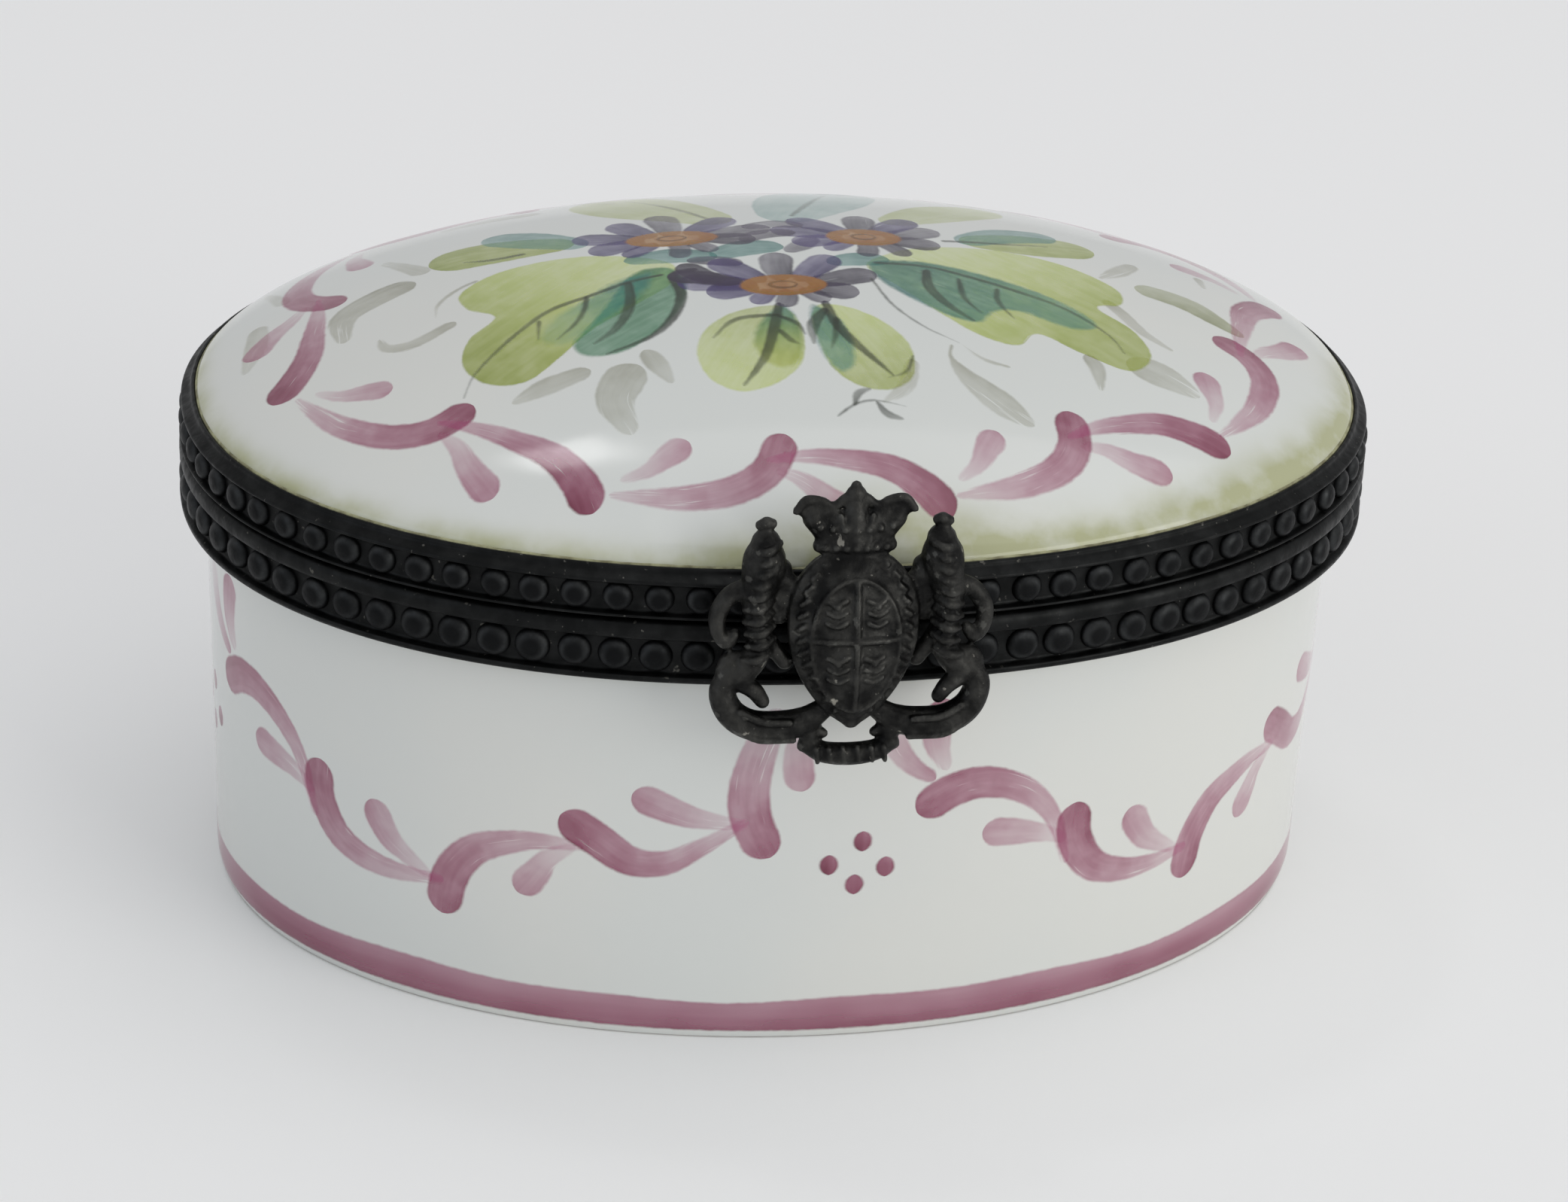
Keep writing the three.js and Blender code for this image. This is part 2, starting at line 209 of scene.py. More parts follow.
def new_piece(name, vertices, faces, finish, body, stands_for=(), sharp=38, weld=True):
    """A mesh object from millimetres, riding on a body and standing for CAD nodes."""
    mesh = bpy.data.meshes.new(name)
    mesh.from_pydata((np.asarray(vertices, float) * MM).tolist(), [], faces)
    if weld:
        work = bmesh.new()
        work.from_mesh(mesh)
        bmesh.ops.remove_doubles(work, verts=work.verts, dist=1e-8)
        bmesh.ops.recalc_face_normals(work, faces=work.faces)
        work.to_mesh(mesh)
        work.free()
    mesh.shade_smooth()
    mesh.set_sharp_from_angle(angle=math.radians(sharp))
    mesh.materials.append(finish)
    piece = bpy.data.objects.new(name, mesh)
    bpy.context.scene.collection.objects.link(piece)
    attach(piece, body)
    if stands_for:
        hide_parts(*stands_for)
    return piece


def grid_faces(rows, columns, start=0, wrap_rows=False, wrap_columns=False):
    """Quads over a grid of vertices numbered row by row."""
    faces = []
    for i in range(rows if wrap_rows else rows - 1):
        here, there = start + i * columns, start + (i + 1) % rows * columns
        for j in range(columns if wrap_columns else columns - 1):
            k = (j + 1) % columns
            faces.append((here + j, here + k, there + k, there + j))
    return faces


def rounded(outline, steps=4):
    """A closed outline of (inset, height, radius) corners, each corner turned into a curve."""
    points = []
    for i, (inset, height, radius) in enumerate(outline):
        here = np.array((inset, height), float)
        if radius == 0:
            points.append(here)
            continue
        arms = []
        for j in (i - 1, (i + 1) % len(outline)):
            arm = np.array(outline[j][:2], float) - here
            length = np.linalg.norm(arm)
            arms.append(arm / length * min(radius, 0.48 * length))
        for t in np.linspace(0, 1, steps + 1):
            points.append(here + arms[0] * (1 - t) ** 2 + arms[1] * t ** 2)
    return np.array(points)


def oval_lathe(profile):
    """Vertices and faces of a closed (inset, height) profile carried round the bezels' oval."""
    rings = []
    for angle in full_turn(RING_STEPS):
        x, y = BEZEL_OVAL.outline(angle, profile[:, 0])
        rings.append(np.stack((x, y, profile[:, 1]), -1))
    faces = grid_faces(RING_STEPS, len(profile), wrap_rows=True, wrap_columns=True)
    return np.concatenate(rings), faces


def stack_rings(rings):
    """Vertices and faces of rings with the same number of points, closed at both ends."""
    count = len(rings[0])
    vertices = np.concatenate(rings)
    faces = grid_faces(len(rings), count, wrap_columns=True)
    faces.append(tuple(range(count)))
    faces.append(tuple(range(len(vertices) - count, len(vertices))))
    return vertices, faces


def merge(shapes):
    """One list of vertices and one of faces from several."""
    vertices, faces, start = [], [], 0
    for points, quads in shapes:
        vertices.append(points)
        faces += [tuple(start + k for k in face) for face in quads]
        start += len(points)
    return np.concatenate(vertices), faces


def smooth_path(rows, count, ease=False):
    """Catmull-Rom curve through rows of numbers, at even or end-crowded places."""
    rows = np.asarray(rows, float)
    padded = np.vstack((2 * rows[0] - rows[1], rows, 2 * rows[-1] - rows[-2]))
    along = np.linspace(0, 1, count)
    if ease:
        along = (1 - np.cos(along * math.pi)) / 2
    along *= len(rows) - 1
    first = np.minimum(along.astype(int), len(rows) - 2)
    t = (along - first)[:, None]
    a, b, c, d = (padded[first + k] for k in range(4))
    return 0.5 * (
        2 * b + (c - a) * t + (2 * a - 5 * b + 4 * c - d) * t ** 2
        + (3 * b - a - 3 * c + d) * t ** 3
    )


def rod(rows, sides=12, steps=None):
    """A round rod with rounded ends through (x, y, z, radius) rows."""
    path = smooth_path(rows, steps or 8 * len(rows))
    centre, radius = path[:, :3], path[:, 3]
    forward = np.gradient(centre, axis=0)
    forward /= np.linalg.norm(forward, axis=1, keepdims=True)
    turn = full_turn(sides)
    depth = np.array((0.0, -1.0, 0.0))

    def ring(middle, heading, size):
        side = np.cross(heading, depth)
        side /= np.linalg.norm(side)
        up = np.cross(side, heading)
        return middle + size * (np.cos(turn)[:, None] * side + np.sin(turn)[:, None] * up)

    def cap(end, outwards):
        """Shrinking rings beyond one end, from the rod outwards."""
        rings = []
        for lean in (22, 50, 80):
            a = math.radians(lean)
            middle = centre[end] + outwards * forward[end] * radius[end] * math.sin(a)
            rings.append(ring(middle, forward[end], radius[end] * math.cos(a)))
        return rings

    along = [ring(c, f, r) for c, f, r in zip(centre, forward, radius)]
    return stack_rings(cap(0, -1)[::-1] + along + cap(-1, 1))


def blob(x, y, z, size_x, size_y=None, size_z=None):
    """An egg-shaped lump."""
    size_y = size_y or size_x
    size_z = size_z or size_x
    sides = 16
    turn = full_turn(sides)
    rings = []
    for a in np.radians((-82, -60, -36, -12, 12, 36, 60, 82)):
        rings.append(np.stack((
            x + size_x * math.cos(a) * np.cos(turn),
            y + size_y * math.cos(a) * np.sin(turn),
            np.full(sides, z + size_z * math.sin(a))), -1))
    return stack_rings(rings)


def bevelled_box(low, high, bevel):
    """A box with rounded edges, as four rings round a line along X."""
    low, high = np.array(low, float), np.array(high, float)
    rings = []
    for share_in, at in ((1, low[0]), (0, low[0] + bevel), (0, high[0] - bevel), (1, high[0])):
        inset = bevel * share_in
        outline = rounded([
            (low[1] + inset, low[2] + inset, bevel), (high[1] - inset, low[2] + inset, bevel),
            (high[1] - inset, high[2] - inset, bevel), (low[1] + inset, high[2] - inset, bevel),
        ])
        rings.append(np.column_stack((np.full(len(outline), at), outline)))
    return stack_rings(rings)


def turned_about_hinge(profile):
    """Vertices and faces of a closed (radius, x) profile turned about the hinge's axis."""
    sides = 40
    rings = []
    for a in full_turn(sides):
        y, z = HINGE_Y + profile[:, 0] * math.cos(a), SEAM + profile[:, 0] * math.sin(a)
        rings.append(np.stack((profile[:, 1], y, z), -1))
    faces = grid_faces(sides, len(profile), wrap_rows=True, wrap_columns=True)
    return np.concatenate(rings), faces


# --- materials ----------------------------------------------------------------------

class Finish:
    """A procedural material round one Principled shader. Noise scales are per metre, so a
    scale of 1000 makes patches about a millimetre across."""

    def __init__(self, name, **constants):
        self.material = bpy.data.materials.new(name)
        self.material.use_nodes = True
        self.tree = self.material.node_tree
        self.shader = self.tree.nodes["Principled BSDF"]
        for socket, value in constants.items():
            self.shader.inputs[socket.replace("_", " ")].default_value = value
        self.place = self.node("ShaderNodeTexCoord").outputs["Object"]

    def node(self, kind, **settings):
        node = self.tree.nodes.new(kind)
        for key, value in settings.items():
            setattr(node, key, value)
        return node

    def feed(self, socket, value):
        if isinstance(value, bpy.types.NodeSocket):
            self.tree.links.new(value, socket)
        elif isinstance(value, tuple) and socket.type == "RGBA":
            socket.default_value = (*value, 1.0)
        else:
            socket.default_value = value

    def math(self, operation, *values):
        node = self.node("ShaderNodeMath", operation=operation)
        for socket, value in zip(node.inputs, values):
            self.feed(socket, value)
        return node.outputs[0]

    def scaled(self, vector, factors):
        node = self.node("ShaderNodeVectorMath", operation="MULTIPLY")
        self.feed(node.inputs[0], vector)
        node.inputs[1].default_value = factors
        return node.outputs[0]

    def noise(self, scale, detail=2.0, where=None):
        node = self.node("ShaderNodeTexNoise")
        self.feed(node.inputs["Vector"], where or self.place)
        node.inputs["Scale"].default_value = scale
        node.inputs["Detail"].default_value = detail
        return node.outputs[0]

    def ramp(self, value, low, high, to_low=0.0, to_high=1.0):
        """A smooth step from to_low, at low and under, to to_high."""
        node = self.node("ShaderNodeMapRange", interpolation_type="SMOOTHSTEP")
        for socket, number in zip(node.inputs, (value, low, high, to_low, to_high)):
            self.feed(socket, number)
        return node.outputs[0]

    def mix(self, share, first, second):
        node = self.node("ShaderNodeMix", data_type="RGBA")
        self.feed(node.inputs["Factor"], share)
        colours = [s for s in node.inputs if s.type == "RGBA"]
        self.feed(colours[0], first)
        self.feed(colours[1], second)
        return [s for s in node.outputs if s.type == "RGBA"][0]

    def attribute(self, name):
        return self.node("ShaderNodeAttribute", attribute_name=name)

    def bump(self, height, distance, strength=1.0):
        node = self.node("ShaderNodeBump")
        node.inputs["Strength"].default_value = strength
        node.inputs["Distance"].default_value = distance
        self.feed(node.inputs["Height"], height)
        self.feed(self.shader.inputs["Normal"], node.outputs[0])

    def colour(self, value):
        self.feed(self.shader.inputs["Base Color"], value)

    def roughness(self, value):
        self.feed(self.shader.inputs["Roughness"], value)

    def uneven_roughness(self, scale, detail, smoothest, roughest):
        self.roughness(self.ramp(self.noise(scale, detail), 0.3, 0.7, smoothest, roughest))


def glaze():
    """White porcelain under a clear glaze, with ash specks, cement stain beside the lid's bezel and a
    narrow tinted band just below the base's bezel.
    """
    finish = Finish("glazed_porcelain", Roughness=0.11, IOR=1.5)
    cool, warm = (0.645, 0.665, 0.645), (0.668, 0.675, 0.645)
    stain_colour, speck_colour = (0.395, 0.405, 0.245), (0.16, 0.15, 0.14)
    cloud = finish.ramp(finish.noise(45, 3), 0.38, 0.62)
    body = finish.mix(cloud, cool, warm)

    stain = finish.attribute("stain").outputs["Fac"]
    patchy = finish.ramp(finish.noise(420, 4), 0.25, 0.72, 0.45, 1.25)
    wet = finish.math("MULTIPLY", stain, patchy)
    wet.node.use_clamp = True
    stained = finish.mix(wet, body, stain_colour)

    cells = finish.node("ShaderNodeTexVoronoi")
    finish.feed(cells.inputs["Vector"], finish.place)
    cells.inputs["Scale"].default_value = 420
    rare = finish.math("GREATER_THAN", finish.math("FRACT", cells.outputs["Color"]), 0.90)
    dot = finish.ramp(cells.outputs["Distance"], 0.03, 0.055, 0.55, 0.0)
    finish.colour(finish.mix(finish.math("MULTIPLY", rare, dot), stained, speck_colour))

    finish.roughness(finish.ramp(finish.noise(300, 3), 0.3, 0.75, 0.09, 0.15))
    broad = finish.noise(110, 1)
    ripples = finish.math("MULTIPLY", finish.noise(900, 2), 0.06)
    finish.bump(finish.math("ADD", broad, ripples), 0.00005)
    return finish.material


def bisque():
    """Bare fired porcelain, where the foot was wiped clean of glaze."""
    finish = Finish("bare_porcelain_foot")
    clean, dirty = (0.62, 0.60, 0.55), (0.45, 0.42, 0.37)
    finish.colour(finish.mix(finish.ramp(finish.noise(700, 4), 0.35, 0.7), clean, dirty))
    finish.uneven_roughness(1500, 3, 0.55, 0.8)
    finish.bump(finish.noise(6000, 4), 0.00002)
    return finish.material


def patina(name, dark, light, roughness, grain, wear_marks):
    """Blackened brass: dark in the hollows and rubbed lighter on the edges, with dust specks
    and small pale marks, whose strength is wear_marks."""
    finish = Finish(name, Metallic=1.0)
    dust_colour, mark_colour = (0.16, 0.155, 0.14), (0.30, 0.29, 0.255)
    edges = finish.node("ShaderNodeNewGeometry").outputs["Pointiness"]
    rubbed = finish.ramp(edges, 0.50, 0.60)
    cloud = finish.ramp(finish.noise(900, 5), 0.35, 0.7)
    rubbed_part, cloud_part = finish.math("MULTIPLY", rubbed, 0.6), finish.math("MULTIPLY", cloud, 0.4)
    coat = finish.mix(finish.math("ADD", rubbed_part, cloud_part), dark, light)
    dust = finish.ramp(finish.noise(3800, 2), 0.70, 0.78, 0.0, 0.6)
    marks = finish.ramp(finish.noise(1500, 3), 0.69, 0.74, 0.0, wear_marks)
    coat = finish.mix(dust, coat, dust_colour)
    finish.colour(finish.mix(marks, coat, mark_colour))
    finish.uneven_roughness(1600, 4, roughness, roughness + 0.16)
    finish.bump(finish.noise(2600, 5), grain)
    return finish.material


def bead_metal():
    """The beads' colour holds a painted reflection: darkest on top and paler in a ring round their
    sides.
    """
    finish = Finish("bead_metal", Metallic=1.0)
    # Painted reflection: the dark top and the pale ring stand in for what the domes reflect
    dull, pale = (0.011, 0.0115, 0.012), (0.042, 0.044, 0.045)
    rise = finish.attribute("rise").outputs["Fac"]
    above_foot, below_top = finish.ramp(rise, 0.05, 0.4), finish.ramp(rise, 0.5, 0.85, 1.0, 0.0)
    ring = finish.math("MULTIPLY", above_foot, below_top)
    cloud = finish.ramp(finish.noise(1200, 4), 0.3, 0.7, 0.3, 1.0)
    finish.colour(finish.mix(finish.math("MULTIPLY", ring, cloud), dull, pale))
    finish.uneven_roughness(1800, 3, 0.46, 0.6)
    finish.bump(finish.noise(3000, 4), 0.00003)
    return finish.material


def cement_finish():
    """Old yellowed cement, crumbly and matt."""
    finish = Finish("yellowed_cement")
    yellow, dirty = (0.36, 0.36, 0.21), (0.17, 0.16, 0.09)
    finish.colour(finish.mix(finish.ramp(finish.noise(1300, 5), 0.35, 0.68), yellow, dirty))
    finish.uneven_roughness(2500, 3, 0.6, 0.9)
    finish.bump(finish.noise(4200, 5), 0.00006)
    return finish.material


def polished():
    """Bare steel, finely brushed and a little dull."""
    finish = Finish("worn_bright_metal", Metallic=1.0)
    lines = finish.noise(900, 4, finish.scaled(finish.place, (1.0, 8.0, 8.0)))
    finish.colour(finish.mix(finish.ramp(lines, 0.3, 0.7), (0.20, 0.20, 0.19), (0.10, 0.10, 0.10)))
    finish.roughness(finish.ramp(lines, 0.3, 0.7, 0.28, 0.42))
    finish.bump(lines, 0.00001)
    return finish.material


def china_paint():
    """Overglaze enamel in brush strokes. Each channel of what the paint lets through is its
    tint raised to the thickness of the paint, and the alpha is what its darkest channel stops."""
    finish = Finish("china_paint", IOR=1.5, Roughness=0.11)
    brush = finish.attribute("brush").outputs["Vector"]
    load = finish.node("ShaderNodeSeparateXYZ")
    finish.feed(load.inputs[0], finish.attribute("load").outputs["Vector"])
    density, dryness, edge = load.outputs

    streak = finish.noise(1.0, 3, finish.scaled(brush, (0.30, 3.0, 1.0)))
    blotch = finish.noise(1.0, 2, finish.scaled(brush, (0.8, 0.8, 1.0)))
    wobble = finish.noise(2200, 3)
    ragged = finish.math("MULTIPLY_ADD", finish.math("SUBTRACT", wobble, 0.5), 0.12, edge)
    inside = finish.ramp(ragged, -0.01, 0.19)

    pooled = finish.ramp(edge, 0.08, 0.34, 1.12, 1.0)
    bristles = finish.ramp(streak, 0.3, 0.7, 0.91, 1.1)
    uneven = finish.ramp(blotch, 0.3, 0.7, 0.86, 1.14)
    thickness = finish.math("MULTIPLY", density, pooled)
    thickness = finish.math("MULTIPLY", thickness, bristles)
    thickness = finish.math("MULTIPLY", thickness, uneven)

    fine = finish.noise(1.0, 2, finish.scaled(brush, (0.4, 7.0, 1.0)))
    skipped = finish.math("SUBTRACT", fine, finish.math("MULTIPLY", dryness, 0.42))
    wet = finish.ramp(skipped, 0.08, 0.30)
    mask = finish.math("MULTIPLY", inside, wet)

    tint = finish.node("ShaderNodeSeparateColor")
    finish.feed(tint.inputs[0], finish.attribute("tint").outputs["Color"])
    through = [finish.math("POWER", channel, thickness) for channel in tint.outputs]
    least = finish.math("MINIMUM", finish.math("MINIMUM", *through[:2]), through[2])
    stopped = finish.math("MAXIMUM", finish.math("SUBTRACT", 1.0, least), 0.001)
    joined = finish.node("ShaderNodeCombineColor")
    for channel, white, socket in zip(through, WHITE, joined.inputs):
        extra = finish.math("DIVIDE", finish.math("SUBTRACT", channel, least), stopped)
        finish.feed(socket, finish.math("MULTIPLY", extra, white))
    finish.colour(joined.outputs[0])
    finish.feed(finish.shader.inputs["Alpha"], finish.math("MULTIPLY", stopped, mask))
    return finish.material


GLAZE = glaze()
BISQUE = bisque()
BEZEL_METAL = patina("dark_bezel_patina", dark=(0.012, 0.0125, 0.0125), light=(0.032, 0.033, 0.033),
                     roughness=0.40, grain=0.00002, wear_marks=0.25)
CAST_METAL = patina("dark_cast_patina", dark=(0.014, 0.014, 0.0138), light=(0.095, 0.094, 0.087),
                    roughness=0.46, grain=0.00008, wear_marks=0.8)
BEAD_METAL = bead_metal()
CEMENT = cement_finish()
STEEL = polished()
PAINT = china_paint()


# --- porcelain ----------------------------------------------------------------------

def hump(along, centre, spread):
    """1 at the centre, fading to 0 on both sides."""
    return np.exp(-((along - centre) / spread) ** 2)


def ring_points(rings):
    """Points of (oval, share, inset, height) rings, each its inset oval scaled by share."""
    points = np.empty((len(rings), RING_STEPS, 3))
    for i, (oval, share, inset, height) in enumerate(rings):
        x, y = oval.outline(full_turn(RING_STEPS), inset)
        points[i] = np.stack((x * share, y * share, np.full(RING_STEPS, height)), -1)
    return points


def porcelain(name, points, stain, body, node):
    """A glazed piece over rings of points, with how stained each point is."""
    faces = grid_faces(len(points), RING_STEPS, wrap_columns=True)
    piece = new_piece(name, points.reshape(-1, 3), faces, GLAZE, body, [node],
                      weld=False)
    store(piece, "stain", "FLOAT", stain.ravel())
    merge_axis(piece)
    return piece


def lid_stain(along, distance):
    """Cement has crept onto the glaze beside the bezel, most at the front and the right."""
    front, right = hump(along, 1.5, 6.5), hump(along, 25.0, 18.0)
    amount = 0.85 + 0.7 * front + 0.5 * right
    width = 0.8 + 1.75 * front + 0.9 * right
    return np.clip(amount * np.exp(-(distance / width) ** 1.8), 0, 1)


def lid_dome():
    """The lid: a dome outside, a shallower hollow inside, and a rim set in the bezel."""
    dome_steps, hollow_steps, hollow_rise = 72, 36, 5.8
    rings = []
    for i in range(dome_steps + 1):
        share = math.sin(i / dome_steps * math.pi / 2)
        height = LID_EDGE + (CROWN - LID_EDGE) * (1 - share ** 2) ** DOME_POWER
        rings.append((DOME_OVAL, share, 0.0, height))
    rim = ((0.3, LID_EDGE - 0.3), (0.45, LID_EDGE - 0.6), (0.45, SEAM + 1.0))
    for inset, height in rim:
        rings.append((DOME_OVAL, 1.0, inset, height))
    hollow_oval = Oval(HALF_WIDTH - FLANGE_IN, HALF_DEPTH - FLANGE_IN, RIM_POWER)
    for i in range(hollow_steps + 1):
        share = math.cos(i / hollow_steps * math.pi / 2)
        height = SEAM + 0.95 + hollow_rise * math.sqrt(1 - share ** 2)
        rings.append((hollow_oval, share, 0.0, height))
    points = ring_points(rings)

    # Distance over the glaze from the bezel, and place round it from the front centre
    steps = np.linalg.norm(np.diff(points[:dome_steps + 1], axis=0), axis=2)
    distance = np.cumsum(steps[::-1], axis=0)[::-1]
    angles = full_turn(RING_STEPS)
    angles = np.where(angles >= math.pi / 2, angles - 2 * math.pi, angles)
    along = np.interp(angles, BEZEL_OVAL.angles, BEZEL_OVAL.lengths)
    stain = np.zeros(points.shape[:2])
    stain[:dome_steps] = lid_stain(along, distance)
    stain[dome_steps:dome_steps + 1 + len(rim)] = 1.0
    porcelain("lid_porcelain", points, stain, "lid", "lid_shell")


def store(piece, name, kind, values):
    """A named value for every vertex, which the materials read."""
    layer = piece.data.attributes.new(name, kind, "POINT")
    field = {"FLOAT": "value", "FLOAT_VECTOR": "vector", "FLOAT_COLOR": "color"}[kind]
    layer.data.foreach_set(field, np.asarray(values, np.float32).ravel())


def merge_axis(piece):
    """Welds the vertices that meet on the axis and turns every face outwards."""
    work = bmesh.new()
    work.from_mesh(piece.data)
    bmesh.ops.remove_doubles(work, verts=work.verts, dist=1e-8)
    bmesh.ops.dissolve_degenerate(work, edges=work.edges, dist=1e-9)
    bmesh.ops.recalc_face_normals(work, faces=work.faces)
    work.to_mesh(piece.data)
    work.free()
    piece.data.shade_smooth()
    piece.data.set_sharp_from_angle(angle=math.radians(40))


def base_bowl():
    """The bowl: tapered wall, rounded foot ring with a glazed recess, and a deep inside."""
    rim = SEAM - RIM_DROP
    outside = [(wall_inset(np.float64(z)), z) for z in (0.06, 0.14, 0.25, 0.4, 0.6, 0.8, 1.0)]
    outside += [(wall_inset(np.float64(z)), z) for z in np.linspace(1.4, WALL_TOP, 26)]
    outside += [(0.12, rim - 0.5), (0.2, rim - 0.25), (0.6, rim), (WALL - 0.5, rim)]
    corner = FLOOR + FLOOR_CORNER
    inside = [(WALL - 0.12, rim - 0.12), (WALL, rim - 0.5), (WALL, (rim + corner) / 2)]
    for turn in np.linspace(0, math.pi / 2, 12):
        inside.append((
            WALL + FLOOR_CORNER * (1 - math.cos(turn)), corner - FLOOR_CORNER * math.sin(turn)))
    foot = [(4.6, FOOT_RECESS), (4.3, FOOT_RECESS - 0.08), (3.85, 0.08), (3.6, 0.0), (1.0, 0.0)]
    foot_in, flat_in = foot[0][0], inside[-1][0]
    rings = [(BODY_OVAL, share, foot_in, FOOT_RECESS) for share in (0.0, 0.25, 0.5, 0.75)]
    rings += [(BODY_OVAL, 1.0, inset, height) for inset, height in foot + outside]
    first_inside = len(rings)
    rings += [(BODY_OVAL, 1.0, inset, height) for inset, height in inside]
    rings += [(BODY_OVAL, share, flat_in, FLOOR) for share in (0.75, 0.5, 0.25, 0.0)]
    points = ring_points(rings)

    height = points[..., 2]
    # A narrow band just below the bezel turns toward the stain colour, fading within about a third of a
    # millimetre
    below = np.clip(BEZEL_BOTTOM - height, 0, None)
    stain = np.where(height > 1, 0.34 * np.exp(-(below / 0.3) ** 1.2), 0.0)
    stain[first_inside:] = 0.0
    piece = porcelain("base_porcelain", points, stain, "base", "base_shell")
    piece.data.materials.append(BISQUE)
    bare_height = 0.07 * MM
    for face in piece.data.polygons:
        if face.center.z < bare_height:
            face.material_index = 1


# --- bezels, beads and cement -------------------------------------------------------

def bezels():
    """Two drawn strips: a cove for the beads between two lips, and a flange behind."""
    lid_corners = [
        (FLANGE_IN, 0.08, 0.06), (0.16, 0.08, 0.1), (0.0, 0.16, 0.06), (0.03, 0.26, 0.05),
        (COVE, 0.34, 0.14), (COVE, 1.74, 0.14), (0.10, 1.84, 0.07), (0.12, 2.0, 0.10),
        (0.56, 2.26, 0.3), (0.60, 2.47, 0.08), (0.70, 2.55, 0.06), (0.80, 2.50, 0.06),
        (0.86, 2.2, 0.05), (1.02, 1.7, 0.1), (1.02, 0.68, 0.1), (FLANGE_IN, 0.68, 0.1),
    ]
    base_corners = [
        (FLANGE_IN, -0.08, 0.06), (FLANGE_IN, -0.68, 0.1), (1.02, -0.68, 0.1),
        (1.02, -2.88, 0.04), (1.26, -2.94, 0.04), (1.26, -3.28, 0.05), (0.20, -3.28, 0.14),
        (0.0, -3.14, 0.12), (0.0, -2.90, 0.08), (COVE, -2.80, 0.14), (COVE, -1.06, 0.14),
        (0.06, -0.96, 0.06), (0.0, -0.80, 0.1), (0.0, -0.44, 0.16), (0.12, -0.2, 0.14),
        (0.34, -0.08, 0.1),
    ]
    for body, outline in (("lid", lid_corners), ("base", base_corners)):
        profile = rounded(outline)
        profile[:, 1] += SEAM
        vertices, faces = oval_lathe(profile)
        new_piece(f"{body}_bezel_strip", vertices, faces, BEZEL_METAL, body,
                  [f"{body}_bezel"], sharp=50)


def beads(body, bead):
    """A row of domed beads seated in a bezel's cove, each a little different."""
    around, rings = 22, 8
    tall = 0.47
    shapes, rise = [], []
    turn = full_turn(around)
    for k in range(bead["count"]):
        along = (k + 0.5 + rng.uniform(-0.03, 0.03)) * BEZEL_OVAL.perimeter / bead["count"]
        angle = BEZEL_OVAL.angle_at(along)
        x, y = BEZEL_OVAL.outline(angle, COVE + 0.02)
        out = np.array((*BEZEL_OVAL.outward(*BEZEL_OVAL.outline(angle)), 0.0))
        side = np.array((-out[1], out[0], 0.0))
        up = np.array((0, 0, 1.0))
        radius = bead["radius"] * rng.uniform(0.95, 1.03)
        reach = tall * rng.uniform(0.95, 1.03)
        centre = np.array((x, y, bead["height"] + rng.uniform(-0.03, 0.03)))
        layers = []
        for j in range(rings):
            lean = j / (rings - 1) * math.pi / 2 * 0.96
            middle = centre + out * reach * math.sin(lean)
            spread = radius * math.cos(lean) ** 0.8
            layers.append(middle + spread * (
                np.cos(turn)[:, None] * side + np.sin(turn)[:, None] * up))
            rise += [j / (rings - 1)] * around
        shapes.append(stack_rings(layers))
    vertices, faces = merge(shapes)
    piece = new_piece(f"{body}_beads", vertices, faces, BEAD_METAL, body,
                      [f"{body}_bead_wire"], sharp=60, weld=False)
    store(piece, "rise", "FLOAT", rise)
    merge_axis(piece)


def cement():
    """The cement that beds each porcelain rim, with an uneven fillet showing at the lid."""
    lid_fill = rounded([
        (1.04, SEAM + 0.7, 0.05), (1.04, SEAM + 1.7, 0.05), (0.88, SEAM + 2.2, 0.03),
        (0.82, SEAM + 2.50, 0.03), (0.90, SEAM + 2.60, 0.05), (1.02, SEAM + 2.52, 0.05),
        (1.3, SEAM + 2.0, 0.1), (1.3, SEAM + 0.7, 0.05),
    ], steps=3)
    vertices, faces = oval_lathe(lid_fill)
    angle = np.arctan2(vertices[:, 1], vertices[:, 0])
    lump = 0.02 * np.sin(31 * angle) + 0.018 * np.sin(73 * angle + 2) + 0.012 * np.sin(157 * angle)
    vertices[:, 2] += np.where(vertices[:, 2] > SEAM + 2.45, np.minimum(lump, 0.0), 0.0)
    new_piece("lid_cement_fillet", vertices, faces, CEMENT, "lid", ["lid_cement"])
    base_fill = rounded([
        (1.04, SEAM - 0.7, 0.05), (1.04, SEAM - 2.8, 0.05), (1.33, SEAM - 2.8, 0.05),
        (1.36, SEAM - 0.7, 0.05),
    ], steps=2)
    vertices, faces = oval_lathe(base_fill)
    new_piece("base_cement_bed", vertices, faces, CEMENT, "base", ["base_cement"])


# --- hinge --------------------------------------------------------------------------

def box_piece(name, node, bevel, finish, body):
    """A piece that fills a CAD node's box, with its edges rounded."""
    vertices, faces = bevelled_box(*corners(node), bevel)
    new_piece(name, vertices, faces, finish, body, [node])


